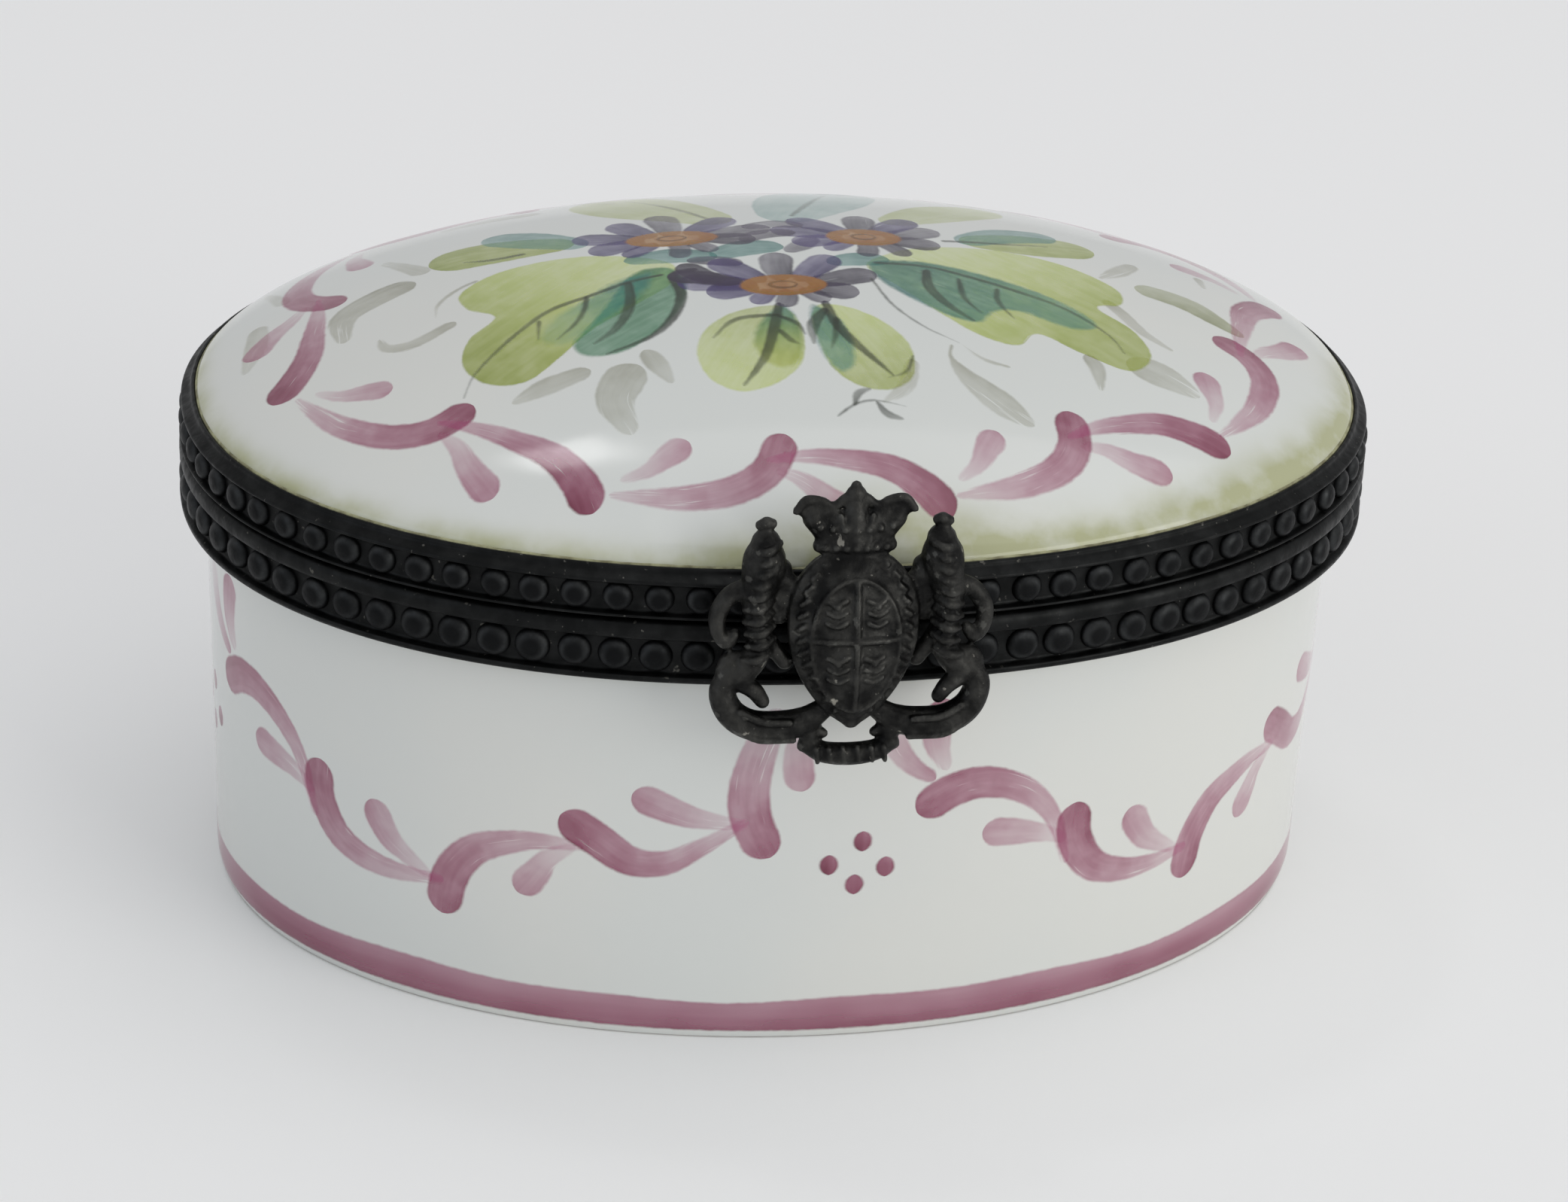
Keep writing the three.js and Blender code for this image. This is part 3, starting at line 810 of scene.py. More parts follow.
def hinge():
    """Two soldered leaves, five rolled knuckles and the pin through them."""
    for body in ("base", "lid"):
        box_piece(f"{body}_hinge_plate", f"{body}_hinge_leaf", 0.12, BEZEL_METAL, body)
    bore, edge, groove_half = 0.5, 0.12, 0.16
    for node in ("base_knuckle_1", "lid_knuckle_1", "base_knuckle_2", "lid_knuckle_2",
                 "base_knuckle_3"):
        low, high = corners(node)
        radius = (high[2] - low[2]) / 2
        left, right = low[0], high[0]
        groove = (left + right) / 2
        profile = rounded([
            (bore, left, 0.05), (radius, left, edge), (radius, groove - groove_half, 0.04),
            (radius - 0.07, groove, 0.06), (radius, groove + groove_half, 0.04),
            (radius, right, edge), (bore, right, 0.05),
        ])
        vertices, faces = turned_about_hinge(profile)
        new_piece(node.replace("knuckle", "rolled_knuckle"), vertices, faces, BEZEL_METAL,
                  node.split("_")[0], [node])
    reach, head, head_tall, shank = corners("hinge_pin")[1][0], 0.8, 0.3, 0.45
    profile = rounded([
        (0.02, -reach, 0), (head * 0.75, -reach, 0.2), (head, head_tall - reach, 0.05),
        (shank, head_tall - reach, 0.02), (shank, reach - head_tall, 0.02),
        (head, reach - head_tall, 0.05), (head * 0.75, reach, 0.2), (0.02, reach, 0),
    ])
    vertices, faces = turned_about_hinge(profile)
    new_piece("riveted_hinge_pin", vertices, faces, STEEL, "base", ["hinge_pin"])


# --- clasp --------------------------------------------------------------------------

# The casting's parts are placed about the seam, with X and Z across its face and depth
# measured forwards from its back

LEAN = math.radians(8)
STAND_OFF = 0.9
VOXEL = 0.10
SHIELD_TOP, SHIELD_TIP, SHIELD_HALF = 4.4, -4.0, 2.9
SHIELD_MIDDLE = 0.8


def shield_half_width(z):
    """Half the shield's width at a height: round-shouldered above, drawn to a tip below."""
    if z > SHIELD_MIDDLE:
        return SHIELD_HALF * (1 - ((z - SHIELD_MIDDLE) / (SHIELD_TOP - SHIELD_MIDDLE)) ** 2.4) ** 0.5
    return SHIELD_HALF * (1 - ((SHIELD_MIDDLE - z) / (SHIELD_MIDDLE - SHIELD_TIP)) ** 1.9) ** 0.75


def shield_depth(x, z):
    """How far the shield's swelling face stands in front of the casting's back."""
    across = 1 - min(1.0, abs(x) / max(shield_half_width(z), 0.05)) ** 2
    upright = 1 - min(1.0, abs(z - 0.2) / 4.4) ** 2.4
    return 0.85 + 1.45 * math.sqrt(max(across * upright, 0.0))


def shield_plate():
    """The shield's body, as level slices with a swelling front."""
    rings = []
    for z in np.linspace(SHIELD_TIP + 0.06, SHIELD_TOP - 0.04, 44):
        half = max(shield_half_width(z), 0.08)
        front = [(x, -shield_depth(x, z), z) for x in np.linspace(-half, half, 25)]
        rings.append(np.array(front + [(half, -0.15, z), (-half, -0.15, z)]))
    return stack_rings(rings)


def over_shield(points, radius, proud=0.1):
    """A thin ridge laid on the shield's face through (x, z) points."""
    rows = [(x, -shield_depth(x, z) - proud, z, radius) for x, z in points]
    return rod(rows, sides=8)


def both_sides(rows):
    """The rod through rows, and its mirror image."""
    mirrored = [(-x, y, z, r) for x, y, z, r in rows]
    return [rod(rows), rod(mirrored)]


def flat_rod(points, depth):
    """Rod rows from (x, z, radius) points at one depth in front of the casting's back."""
    return [(x, -depth, z, radius) for x, z, radius in points]


def paired(points, depth):
    """The rod through (x, z, radius) points at one depth, and its mirror image."""
    return both_sides(flat_rod(points, depth))


def crest_shield():
    """An oval shield in a roped border, with plain quarters of bars and pellets."""
    shapes = [shield_plate()]
    heights = np.linspace(SHIELD_TOP - 0.02, SHIELD_TIP + 0.12, 22)
    for side in (-1, 1):
        rim = [(side * max(shield_half_width(z) - 0.06, 0.0), -1.12, z, 0.26) for z in heights]
        shapes.append(rod(rim, sides=10, steps=90))
        for share in np.linspace(0.06, 0.92, 13):
            z = SHIELD_TOP + (SHIELD_TIP - SHIELD_TOP) * share
            x = side * shield_half_width(z) * 0.86
            shapes.append(over_shield([(x * 0.93, z + 0.12), (x * 1.05, z - 0.12)], 0.15, 0.08))
    shapes.append(over_shield([(0, z) for z in np.linspace(3.1, -3.0, 12)], 0.15))
    shapes.append(over_shield([(x, 0.35) for x in np.linspace(-2.05, 2.05, 12)], 0.15))
    inner = [(2.05 * math.sin(a), 0.35 + (2.9 if math.cos(a) > 0 else 3.5) * math.cos(a))
             for a in np.linspace(0, 2 * math.pi, 33)]
    shapes.append(over_shield(inner, 0.13, 0.06))
    for x, z in ((-0.95, 1.75), (0.95, 1.75), (-0.85, -1.0), (0.85, -1.0)):
        for rise in (0.55, 0.0, -0.5):
            bar = [(x - 0.45, z + rise), (x, z + rise - 0.16), (x + 0.42, z + rise + 0.04)]
            shapes.append(over_shield(bar, 0.12))
        shapes.append(blob(x, -shield_depth(x, z) - 0.08, z + 0.28, 0.19))
    return shapes


def crest_coronet():
    """A small closed coronet with two flared lobes, pearls on its band and a knob."""
    shapes = paired([(1.1, 4.7, 0.5), (1.5, 5.4, 0.56), (1.9, 5.9, 0.56)], 0.75)
    shapes += paired([(1.7, 6.25, 0.5), (2.2, 6.25, 0.4), (2.7, 6.3, 0.2)], 0.7)
    shapes += paired([(0.6, 4.7, 0.6), (0.8, 5.6, 0.66), (1.3, 6.2, 0.44)], 0.8)
    shapes.append(rod(flat_rod([(0, 4.6, 0.7), (0, 5.7, 0.72), (0, 6.6, 0.5)], 0.9)))
    shapes.append(rod([(-1.65, -0.95, 4.62, 0.34), (0, -1.2, 4.5, 0.36), (1.65, -0.95, 4.62, 0.34)]))
    shapes += paired([(2.75, 6.3, 0.2), (2.3, 6.82, 0.24), (1.6, 6.75, 0.24), (1.05, 6.5, 0.22),
                      (0.5, 6.85, 0.26)], 0.95)
    for x in np.linspace(-1.4, 1.4, 7):
        shapes.append(blob(x, -1.50 + 0.12 * x * x, 4.62, 0.2))
        shapes.append(blob(x * 1.2, -1.55 + 0.12 * x * x, 5.5 + 0.06 * x * x, 0.18))
    for x in (-1.5, -0.75, 0.0, 0.75, 1.5):
        top = 6.1 + 0.1 * abs(x)
        arch = [(x * 0.8, -1.5 + 0.1 * x * x, 4.9, 0.12), (x, -1.45 + 0.15 * x * x, top, 0.14)]
        shapes.append(rod(arch, sides=8, steps=8))
    shapes.append(blob(0, -0.95, 7.05, 0.5, 0.46, 0.46))
    shapes.append(blob(0, -0.95, 7.5, 0.26, 0.26, 0.22))
    return shapes


def crest_supporters():
    """A stout leafy scroll on each side, with a capped bud on top and curled leaves."""
    shapes = paired([
        (4.1, 4.75, 0.72), (4.15, 4.1, 1.0), (4.25, 3.2, 0.98), (4.45, 2.2, 0.8), (4.45, 1.1, 0.66),
        (4.3, 0.1, 0.62), (4.6, -0.9, 0.66), (5.3, -1.7, 0.62)], 0.72)
    shapes += paired([(4.0, 3.3, 0.6), (3.2, 2.8, 0.6), (2.7, 2.2, 0.5)], 0.55)
    shapes += paired([(3.3, 3.4, 0.5), (3.3, 2.2, 0.62), (3.4, 1.2, 0.5)], 0.45)
    shapes += paired([(4.2, 0.5, 0.46), (3.7, -0.3, 0.42), (3.1, -1.1, 0.4)], 0.55)
    shapes += paired([
        (4.8, 2.6, 0.46), (5.7, 2.2, 0.46), (6.25, 1.3, 0.44), (6.2, 0.4, 0.38), (5.8, -0.1, 0.34),
        (5.45, 0.3, 0.3)], 0.55)
    shapes += paired([(4.9, -0.9, 0.42), (5.7, -1.0, 0.44), (6.0, -1.8, 0.4)], 0.6)
    for side in (-1, 1):
        shapes.append(rod([(side * 4.1, -0.8, 4.9, 0.34), (side * 4.12, -0.8, 5.6, 0.3)], sides=10))
        cap = [(side * 3.85, -0.85, 5.72, 0.26), (side * 4.4, -0.85, 5.66, 0.26)]
        shapes.append(rod(cap, sides=10))
        shapes.append(blob(side * 4.1, -0.85, 5.78, 0.34, 0.34, 0.28))
        for z, x in ((4.6, 4.1), (4.05, 4.18), (3.5, 4.24), (2.95, 4.32), (2.4, 4.42), (1.8, 4.46),
                     (1.2, 4.45), (0.6, 4.36), (0.0, 4.32), (-0.7, 4.5)):
            shapes.append(rod([(side * (x - 0.62), -1.1, z + 0.26, 0.17),
                               (side * x, -1.74 + 0.07 * abs(z - 3.5), z, 0.24),
                               (side * (x + 0.62), -1.1, z - 0.12, 0.17)], sides=8, steps=10))
    return shapes


def crest_ribbon():
    """The pierced scroll that carries the shield, and the small foot below its tip."""
    shapes = paired([
        (5.5, -1.4, 0.56), (6.0, -2.4, 0.64), (5.6, -3.5, 0.7), (4.6, -4.15, 0.74),
        (3.2, -4.25, 0.74), (2.1, -4.0, 0.66), (1.3, -3.5, 0.52)], 0.66)
    shapes += both_sides([(5.3, -0.8, -1.9, 0.46), (4.6, -0.95, -2.3, 0.44), (4.15, -0.9, -2.9, 0.36)])
    shapes += both_sides([(5.2, -1.3, -3.3, 0.2), (4.2, -1.42, -3.75, 0.2), (2.9, -1.4, -3.85, 0.18)])
    shapes += both_sides([(5.5, -1.2, -4.0, 0.18), (4.4, -1.36, -4.65, 0.18), (2.7, -1.3, -4.75, 0.16)])
    shapes += paired([(2.0, -4.2, 0.5), (1.9, -4.9, 0.44), (2.15, -5.3, 0.3)], 0.62)
    shapes.append(rod(flat_rod([(-2.0, -5.2, 0.42), (-1.2, -5.62, 0.52), (0, -5.75, 0.56),
                                (1.2, -5.62, 0.52), (2.0, -5.2, 0.42)], 0.62)))
    shapes += paired([(1.7, -4.4, 0.3), (1.2, -4.7, 0.24)], 0.6)
    for x in (-1.6, -1.0, -0.35, 0.35, 1.0, 1.6):
        shapes.append(rod([(x, -1.1, -5.3, 0.14), (x + 0.08, -1.14, -5.95, 0.14)], sides=8, steps=6))
    shapes.append(blob(0, -1.05, -3.85, 0.46, 0.46, 0.46))
    return shapes


def crest():
    """The casting: all its parts fused by a fine voxel remesh, then softened and leaned back."""
    shapes = crest_shield() + crest_coronet() + crest_supporters() + crest_ribbon()
    vertices, faces = merge(shapes)
    mesh = bpy.data.meshes.new("crest_parts")
    mesh.from_pydata(vertices.tolist(), [], faces)
    work = bmesh.new()
    work.from_mesh(mesh)
    bmesh.ops.recalc_face_normals(work, faces=work.faces)
    work.to_mesh(mesh)
    work.free()
    parts = bpy.data.objects.new("crest_parts", mesh)
    bpy.context.scene.collection.objects.link(parts)
    fuse = parts.modifiers.new("fuse", "REMESH")
    fuse.mode = "VOXEL"
    fuse.voxel_size = VOXEL
    soften = parts.modifiers.new("soften", "SMOOTH")
    soften.factor = 0.5
    soften.iterations = 2
    shown = parts.evaluated_get(bpy.context.evaluated_depsgraph_get())
    fused = bpy.data.meshes.new_from_object(shown)
    points = np.empty(len(fused.vertices) * 3)
    fused.vertices.foreach_get("co", points)
    points = points.reshape(-1, 3)
    faces = [tuple(face.vertices) for face in fused.polygons]
    bpy.data.objects.remove(parts)
    bpy.data.meshes.remove(fused)
    cos, sin = math.cos(LEAN), math.sin(LEAN)
    y, z = points[:, 1].copy(), points[:, 2].copy()
    points[:, 1] = y * cos + z * sin - HALF_DEPTH - STAND_OFF
    points[:, 2] = z * cos - y * sin + SEAM
    new_piece("clasp_casting", points, faces, CAST_METAL, "lid",
              ["clasp_crest"], sharp=70)


def catch():
    """What works behind the casting: its mount, the springy tongue and the nib it snaps over."""
    box_piece("casting_mount", "clasp_mount", 0.08, BEZEL_METAL, "lid")
    box_piece("spring_tongue", "clasp_tongue", 0.07, STEEL, "lid")
    low, high = corners("catch_nib")
    middle, half = (low + high) / 2, (high - low) / 2
    rings = []
    sides = 24
    turn = full_turn(sides)
    for lean in np.radians((0, 20, 40, 60, 76, 86)):
        rings.append(np.stack((
            middle[0] + half[0] * math.cos(lean) * np.cos(turn),
            np.full(sides, high[1] - (high[1] - low[1]) * math.sin(lean)),
            middle[2] + half[2] * math.cos(lean) * np.sin(turn)), -1))
    vertices, faces = stack_rings(rings)
    new_piece("catch_button", vertices, faces, STEEL, "base", ["catch_nib"])


# --- painting -----------------------------------------------------------------------

# Paint stands off the glaze by the lift of its border, a relief towards its middle and a
# step for each layer, mm
BORDER_LIFT, PAINT_RELIEF, LAYER = 0.006, 0.006, 0.009
LINE_LIFT = 0.03  # of the band round the foot


class Painting:
    """Brush strokes laid on a porcelain surface and gathered into one piece."""

    ACROSS = np.array((-1.0, -0.8, -0.45, 0.0, 0.45, 0.8, 1.0))

    def __init__(self, surface, layer=0, layers=1):
        self.surface, self.first, self.layers = surface, layer, layers
        self.points, self.faces, self.tint, self.brush, self.load = [], [], [], [], []
        self.count = self.total = 0

    def lay(self, flat, relief, tints, brush, load, faces):
        """Adds one layer of paint over flat (x, y) places, raised a hair above the last."""
        lift = BORDER_LIFT + PAINT_RELIEF * relief + LAYER * (self.first + self.count % self.layers)
        self.points.append(self.surface(flat[:, 0], flat[:, 1], lift))
        self.tint += [(*tint, 1.0) for tint in tints]
        self.brush += brush
        self.load += load
        self.faces += faces
        self.total += len(flat)
        self.count += 1

    def stroke(self, rows, density, tint, dry=0.15, head=1.0, tail=0.6):
        """A stroke through (x, y, width) rows from tail to head. The paint lies thickest at
        the head and to one side, and thins out, and skips, towards the tail."""
        rows = np.array(rows, float)
        end_growth = 0.3  # of the width there, which the rounded tip takes away again
        for end, beside in ((0, 1), (-1, -2)):
            outwards = rows[end, :2] - rows[beside, :2]
            rows[end, :2] += outwards / np.linalg.norm(outwards) * end_growth * rows[end, 2]
        lengths = np.linalg.norm(np.diff(rows[:, :2], axis=0), axis=1)
        per_mm, fewest, most = 4.5, 18, 60
        stations = int(np.clip(lengths.sum() * per_mm, fewest, most))
        path = smooth_path(rows, stations, ease=True)
        centre, width = path[:, :2], np.maximum(path[:, 2], 0.05)
        step = np.linalg.norm(np.diff(centre, axis=0), axis=1)
        along = np.concatenate(([0.0], np.cumsum(step)))
        whole = along[-1]
        half = width / 2
        for from_end, cap in ((along, half[0]), (whole - along, half[-1])):
            near = np.clip(from_end / max(cap, 0.12), 0, 1)
            half = half * np.sqrt(np.clip(1 - (1 - near) ** 2, 0.0004, 1))
        forward = np.gradient(centre, axis=0)
        forward /= np.linalg.norm(forward, axis=1, keepdims=True)
        side = np.stack((-forward[:, 1], forward[:, 0]), -1)
        across = self.ACROSS
        flat = centre[:, None] + side[:, None] * (half[:, None] * across)[..., None]
        share = along / whole
        thick = density * (tail + (head - tail) * share ** 1.1)
        thin_end = dry * (1 - share) ** 1.5
        seed, lean = rng.uniform(0, 90), rng.uniform(-0.28, 0.28)
        places = [(i, v) for i in range(stations) for v in across]
        self.lay(flat.reshape(-1, 2), np.tile(1 - across ** 2, stations), [tint] * len(places),
                 [(along[i], v * half[i] + seed, seed) for i, v in places],
                 [(thick[i] * (1 + lean * v), thin_end[i], (1 - abs(v)) * half[i]) for i, v in places],
                 grid_faces(stations, len(across), start=self.total))

    def wash(self, outline, tint, density, far_tint=None, far=None, toward=0, soft=1.0):
        """A filled shape inside (x, y) outline points. Its paint runs from one tint and
        density to another across the shape, towards an angle in degrees."""
        loop = np.array([*outline, outline[0]], float)
        padded = np.vstack((loop[-2], loop, loop[1]))
        per_side = 8
        rim = smooth_path(padded, per_side * (len(padded) - 1) + 1)[per_side:-per_side]
        middle = rim.mean(axis=0)
        rings = (1.0, 0.97, 0.93, 0.86, 0.7, 0.5, 0.25, 0.002)
        flat = np.concatenate([middle + (rim - middle) * ring for ring in rings])
        edge = np.linalg.norm(flat[:, None] - rim[None], axis=2).min(axis=1)
        edge[:len(rim)] = 0
        turn = math.radians(toward)
        forward = np.array((math.cos(turn), math.sin(turn)))
        side = np.array((-math.sin(turn), math.cos(turn)))
        run = flat @ forward
        run = (run - run.min()) / np.ptp(run)
        blend = run * run * (3 - 2 * run)
        far_tint, far = far_tint or tint, density if far is None else far
        tints = np.array(tint) + blend[:, None] * (np.array(far_tint) - np.array(tint))
        thick = density + blend * (far - density)
        seed = rng.uniform(0, 90)
        self.lay(flat, np.minimum(edge * 2, 1), tints,
                 [(p @ forward, p @ side + seed, seed) for p in flat],
                 [(t, 0.0, e / soft) for t, e in zip(thick, edge)],
                 grid_faces(len(rings), len(rim), start=self.total))

    def piece(self, name, body):
        """Gathers the strokes so far into one named piece."""
        made = new_piece(name, np.concatenate(self.points), self.faces, PAINT, body,
                         weld=False)
        store(made, "tint", "FLOAT_COLOR", self.tint)
        store(made, "brush", "FLOAT_VECTOR", self.brush)
        store(made, "load", "FLOAT_VECTOR", self.load)
        # Paint is part of the glaze, so light meets it only where an eye does
        made.visible_shadow = False
        made.visible_diffuse = False
        made.visible_glossy = False


def with_widths(points, widths):
    """Rows of (x, y, width), with the widths spread evenly along the points."""
    places = np.linspace(0, 1, len(points))
    spread = np.interp(places, np.linspace(0, 1, len(widths)), widths)
    return [(x, y, w) for (x, y), w in zip(points, spread)]


def lid_garland():
    """Eight pairs of comma strokes and their leaflets, chasing each other round the lid."""
    painting = Painting(on_dome, layer=0, layers=4)
    starts = [-28.0, -10.0, 6.2, 21.3, 38.5, 56.0, 73.5, 91.5]
    ends = starts[1:] + [starts[0] + GARLAND_OVAL.perimeter]
    curl = [(-0.035, -0.55), (0.06, -0.5), (0.18, -0.4), (0.32, 0.1), (0.42, 1.2), (0.465, 2.7)]
    comma = [(0.42, 1.7), (0.54, 1.9), (0.67, 1.65), (0.79, 1.1), (0.88, -0.1), (0.915, -1.0)]
    curl_leaf = [(-0.01, 0.3), (0.06, 0.9), (0.11, 1.7), (0.15, 2.3)]
    comma_leaf = [(0.45, 1.1), (0.52, 0.6), (0.59, -0.4), (0.655, -1.2)]
    for start, end in zip(starts, ends):
        for motif, widths, density in (
                (curl_leaf, (0.5, 1.2, 1.8), 0.36), (comma_leaf, (0.5, 1.3, 1.8), 0.40),
                (curl, (0.4, 1.1, 1.6, 1.8, 1.9), 0.66), (comma, (0.4, 1.1, 1.5, 1.9, 2.0), 0.74)):
            along = [start + share * (end - start) for share, _ in motif]
            x, y = on_garland(np.array(along), np.array([n for _, n in motif]))
            rows = with_widths(list(zip(x, y)), widths)
            painting.stroke(rows, density * rng.uniform(0.92, 1.1), ROSE, dry=0.45, head=1.25, tail=0.2)
    painting.piece("lid_garland", "lid")


def base_garland():
    """Four swags of strokes round the bowl, hung from peaks at the front, sides and back."""
    painting = Painting(on_wall, layer=0, layers=4)
    swag = BODY_OVAL.perimeter / 4
    drawn_swag = 39.5  # the motif's places are drawn on a swag of this length
    scale = swag / drawn_swag
    comma, leaf = (0.6, 1.2, 1.7, 2.1, 2.1), (0.6, 1.5, 1.9)
    motif = [
        ([(12.6, 8.6), (11.7, 11.2), (10.2, 12.9), (8.2, 13.8), (6.3, 13.7), (4.9, 12.9)], comma, 0.62),
        ([(12.4, 9.9), (11.0, 10.5), (9.6, 10.8), (8.4, 11)], leaf, 0.34),
        ([(20.2, 7.3), (18.2, 7.1), (16.2, 7.2), (14.2, 8), (13, 9.9), (13, 11.2)], comma, 0.64),
        ([(19.6, 7.4), (18.2, 8.2), (17.2, 9), (16.5, 10.2)], leaf, 0.34),
        ([(27.4, 10.5), (25.4, 10.5), (23.6, 10.1), (21.9, 9.3), (20.7, 7.6), (20.4, 6)], comma, 0.64),
        ([(27.0, 10.4), (25.8, 9.6), (25.2, 8.7), (24.6, 7.9)], leaf, 0.32),
        ([(35.4, 12.4), (33.5, 11.1), (31.6, 10), (29.8, 10), (28.2, 11), (26.9, 11.8)], comma, 0.62),
        ([(35.2, 12.3), (33.4, 12.5), (31.9, 12.9), (30.4, 13.5)], leaf, 0.42),
        ([(36.7, 18.3), (35.9, 16.2), (35.5, 14), (35.8, 12.2), (36.4, 11)],
         (1.3, 1.9, 2.2, 2.2, 2.1), 0.62),
        ([(38, 18.5), (37.8, 16), (38, 14.6)], (0.9, 1.6, 1.7), 0.32),
        ([(2.6, 18.0), (3.1, 16.4), (4.0, 15.2), (5.0, 14.5)], (1.5, 1.3, 0.8), 0.32),
        ([(5.7, 15.0), (5.1, 16.6), (5.3, 18.2)], (0.7, 1.6, 2.0), 0.5),
    ]
    for index in (-2, -1, 0, 1):
        for points, widths, density in motif:
            moved = [(index * swag + x * scale, z) for x, z in points]
            painting.stroke(with_widths(moved, widths), density * rng.uniform(0.92, 1.08), ROSE,
                            dry=0.45, head=1.3, tail=0.25)
    painting.piece("base_garland", "base")

    dots = Painting(on_wall, layer=0)
    reach = 0.26
    for index in range(4):
        for x, z in ((1.7, 11.2), (0.1, 9.95), (2.9, 9.7), (1.4, 8.8)):
            place = index * swag + x
            dots.stroke([(place, z + reach, 1.05), (place, z, 1.1), (place, z - reach, 1.05)],
                        1.0, ROSE, dry=0.0, head=1.2, tail=0.7)
    dots.piece("base_dots", "base")


def base_line():
    """The rose band round the foot, dark below and thinning upwards, with a drifting edge."""
    painting = Painting(on_wall, layer=0)
    half = BODY_OVAL.perimeter / 2
    steps = 240
    dense, thinning = 0.98, 0.5
    heights = np.array((0.42, 0.55, 0.78, 1.1, 1.5, 1.95, 2.25, 2.4))
    along = np.linspace(-half, half, steps + 1)
    around = along / half * math.pi
    drift = 0.05 * np.sin(6 * around) + 0.04 * np.sin(14 * around + 1)
    for place, rise_more in zip(along, drift):
        high = heights + rise_more * (heights - heights[0])
        painting.points.append(on_wall(np.full(len(high), place), high, np.full(len(high), LINE_LIFT)))
        for z in heights:
            rise = (z - heights[0]) / (heights[-1] - heights[0])
            edge = min(z - heights[0], heights[-1] - z)
            painting.brush.append((place * 0.16, rise * 0.5, 3.0))
            painting.load.append((dense - thinning * rise, 0.0, edge))
            painting.tint.append((*ROSE, 1.0))
    painting.faces = grid_faces(len(along), len(heights))
    painting.piece("base_line", "base")


def strokes(painting, tint, lines, head=1.0, tail=0.85, dry=0.05):
    """Several strokes of one paint: (points, widths, density) each."""
    for points, widths, density in lines:
        painting.stroke(with_widths(points, widths), density, tint, dry=dry, head=head, tail=tail)


def lid_leaves():
    """The broad leaves, laid in yellow-green, paler where the paint ran thin."""
    painting = Painting(on_dome, layer=0, layers=3)
    strokes(painting, LEAF, [
        ([(-10.5, 4.4), (-13, 4.7), (-15, 4.8), (-16.4, 4.6)], (1.8, 3.2, 3.5, 3.0), 0.95),
        ([(10, 3.5), (11.8, 3.7), (13.8, 4.0), (16, 4.4)], (1.6, 2.9, 3.3, 2.7), 0.8),
        ([(-2.4, 6.2), (-4.0, 8), (-6.2, 10.6), (-7.4, 12.8)], (2.0, 4.0, 5.6, 4.6), 0.5),
        ([(6.4, 6.0), (8.4, 7.8), (10.4, 9.4), (12.2, 10.6)], (1.6, 3.2, 3.6, 3.0), 0.5),
    ], head=1.2, tail=0.8)
    painting.wash([(-5.6, 0.3), (-8.5, 2.0), (-11.5, 2.4), (-14.4, 1.7), (-16.2, 0.0), (-16.0, -1.9),
                   (-14.8, -3.3), (-16.2, -5.0), (-16.7, -7.2), (-15.7, -9.1), (-13.8, -9.5),
                   (-12.0, -8.0), (-10.2, -6.0), (-8.0, -4.2), (-5.8, -2.0)],
                  LIME, 0.36, LEAF, 1.0, toward=222)
    painting.wash([(4.6, 0.3), (7.2, 2.0), (11, 2.5), (14.5, 1.6), (16.9, -0.6), (16.8, -2.6),
                   (15.4, -3.4), (16.9, -5.4), (17.3, -7.6), (15.9, -9.2), (13.6, -8.3), (11.6, -7.0),
                   (10.4, -8.2), (8.6, -7.6), (6.8, -5.6), (5.2, -3.0), (4.0, -1.0)],
                  LIME, 0.34, LEAF, 0.9, toward=-45)
    painting.wash([(-1.2, -4.9), (-3.3, -5.4), (-4.9, -6.8), (-5.6, -8.8), (-5.2, -10.9), (-3.8, -12.0),
                   (-1.9, -11.5), (-0.5, -10.0), (-0.1, -8.0), (-0.3, -5.9)],
                  LEAF, 0.52, LIME, 0.38, toward=240)
    painting.wash([(1.0, -4.9), (2.6, -5.3), (4.1, -6.7), (5.0, -8.7), (4.8, -11.0), (3.6, -12.1),
                   (2.0, -11.9), (0.8, -10.5), (0.4, -8.2), (0.4, -6.2)],
                  LIME, 0.38, LEAF, 0.68, toward=-70)
    painting.piece("lid_leaves", "lid")


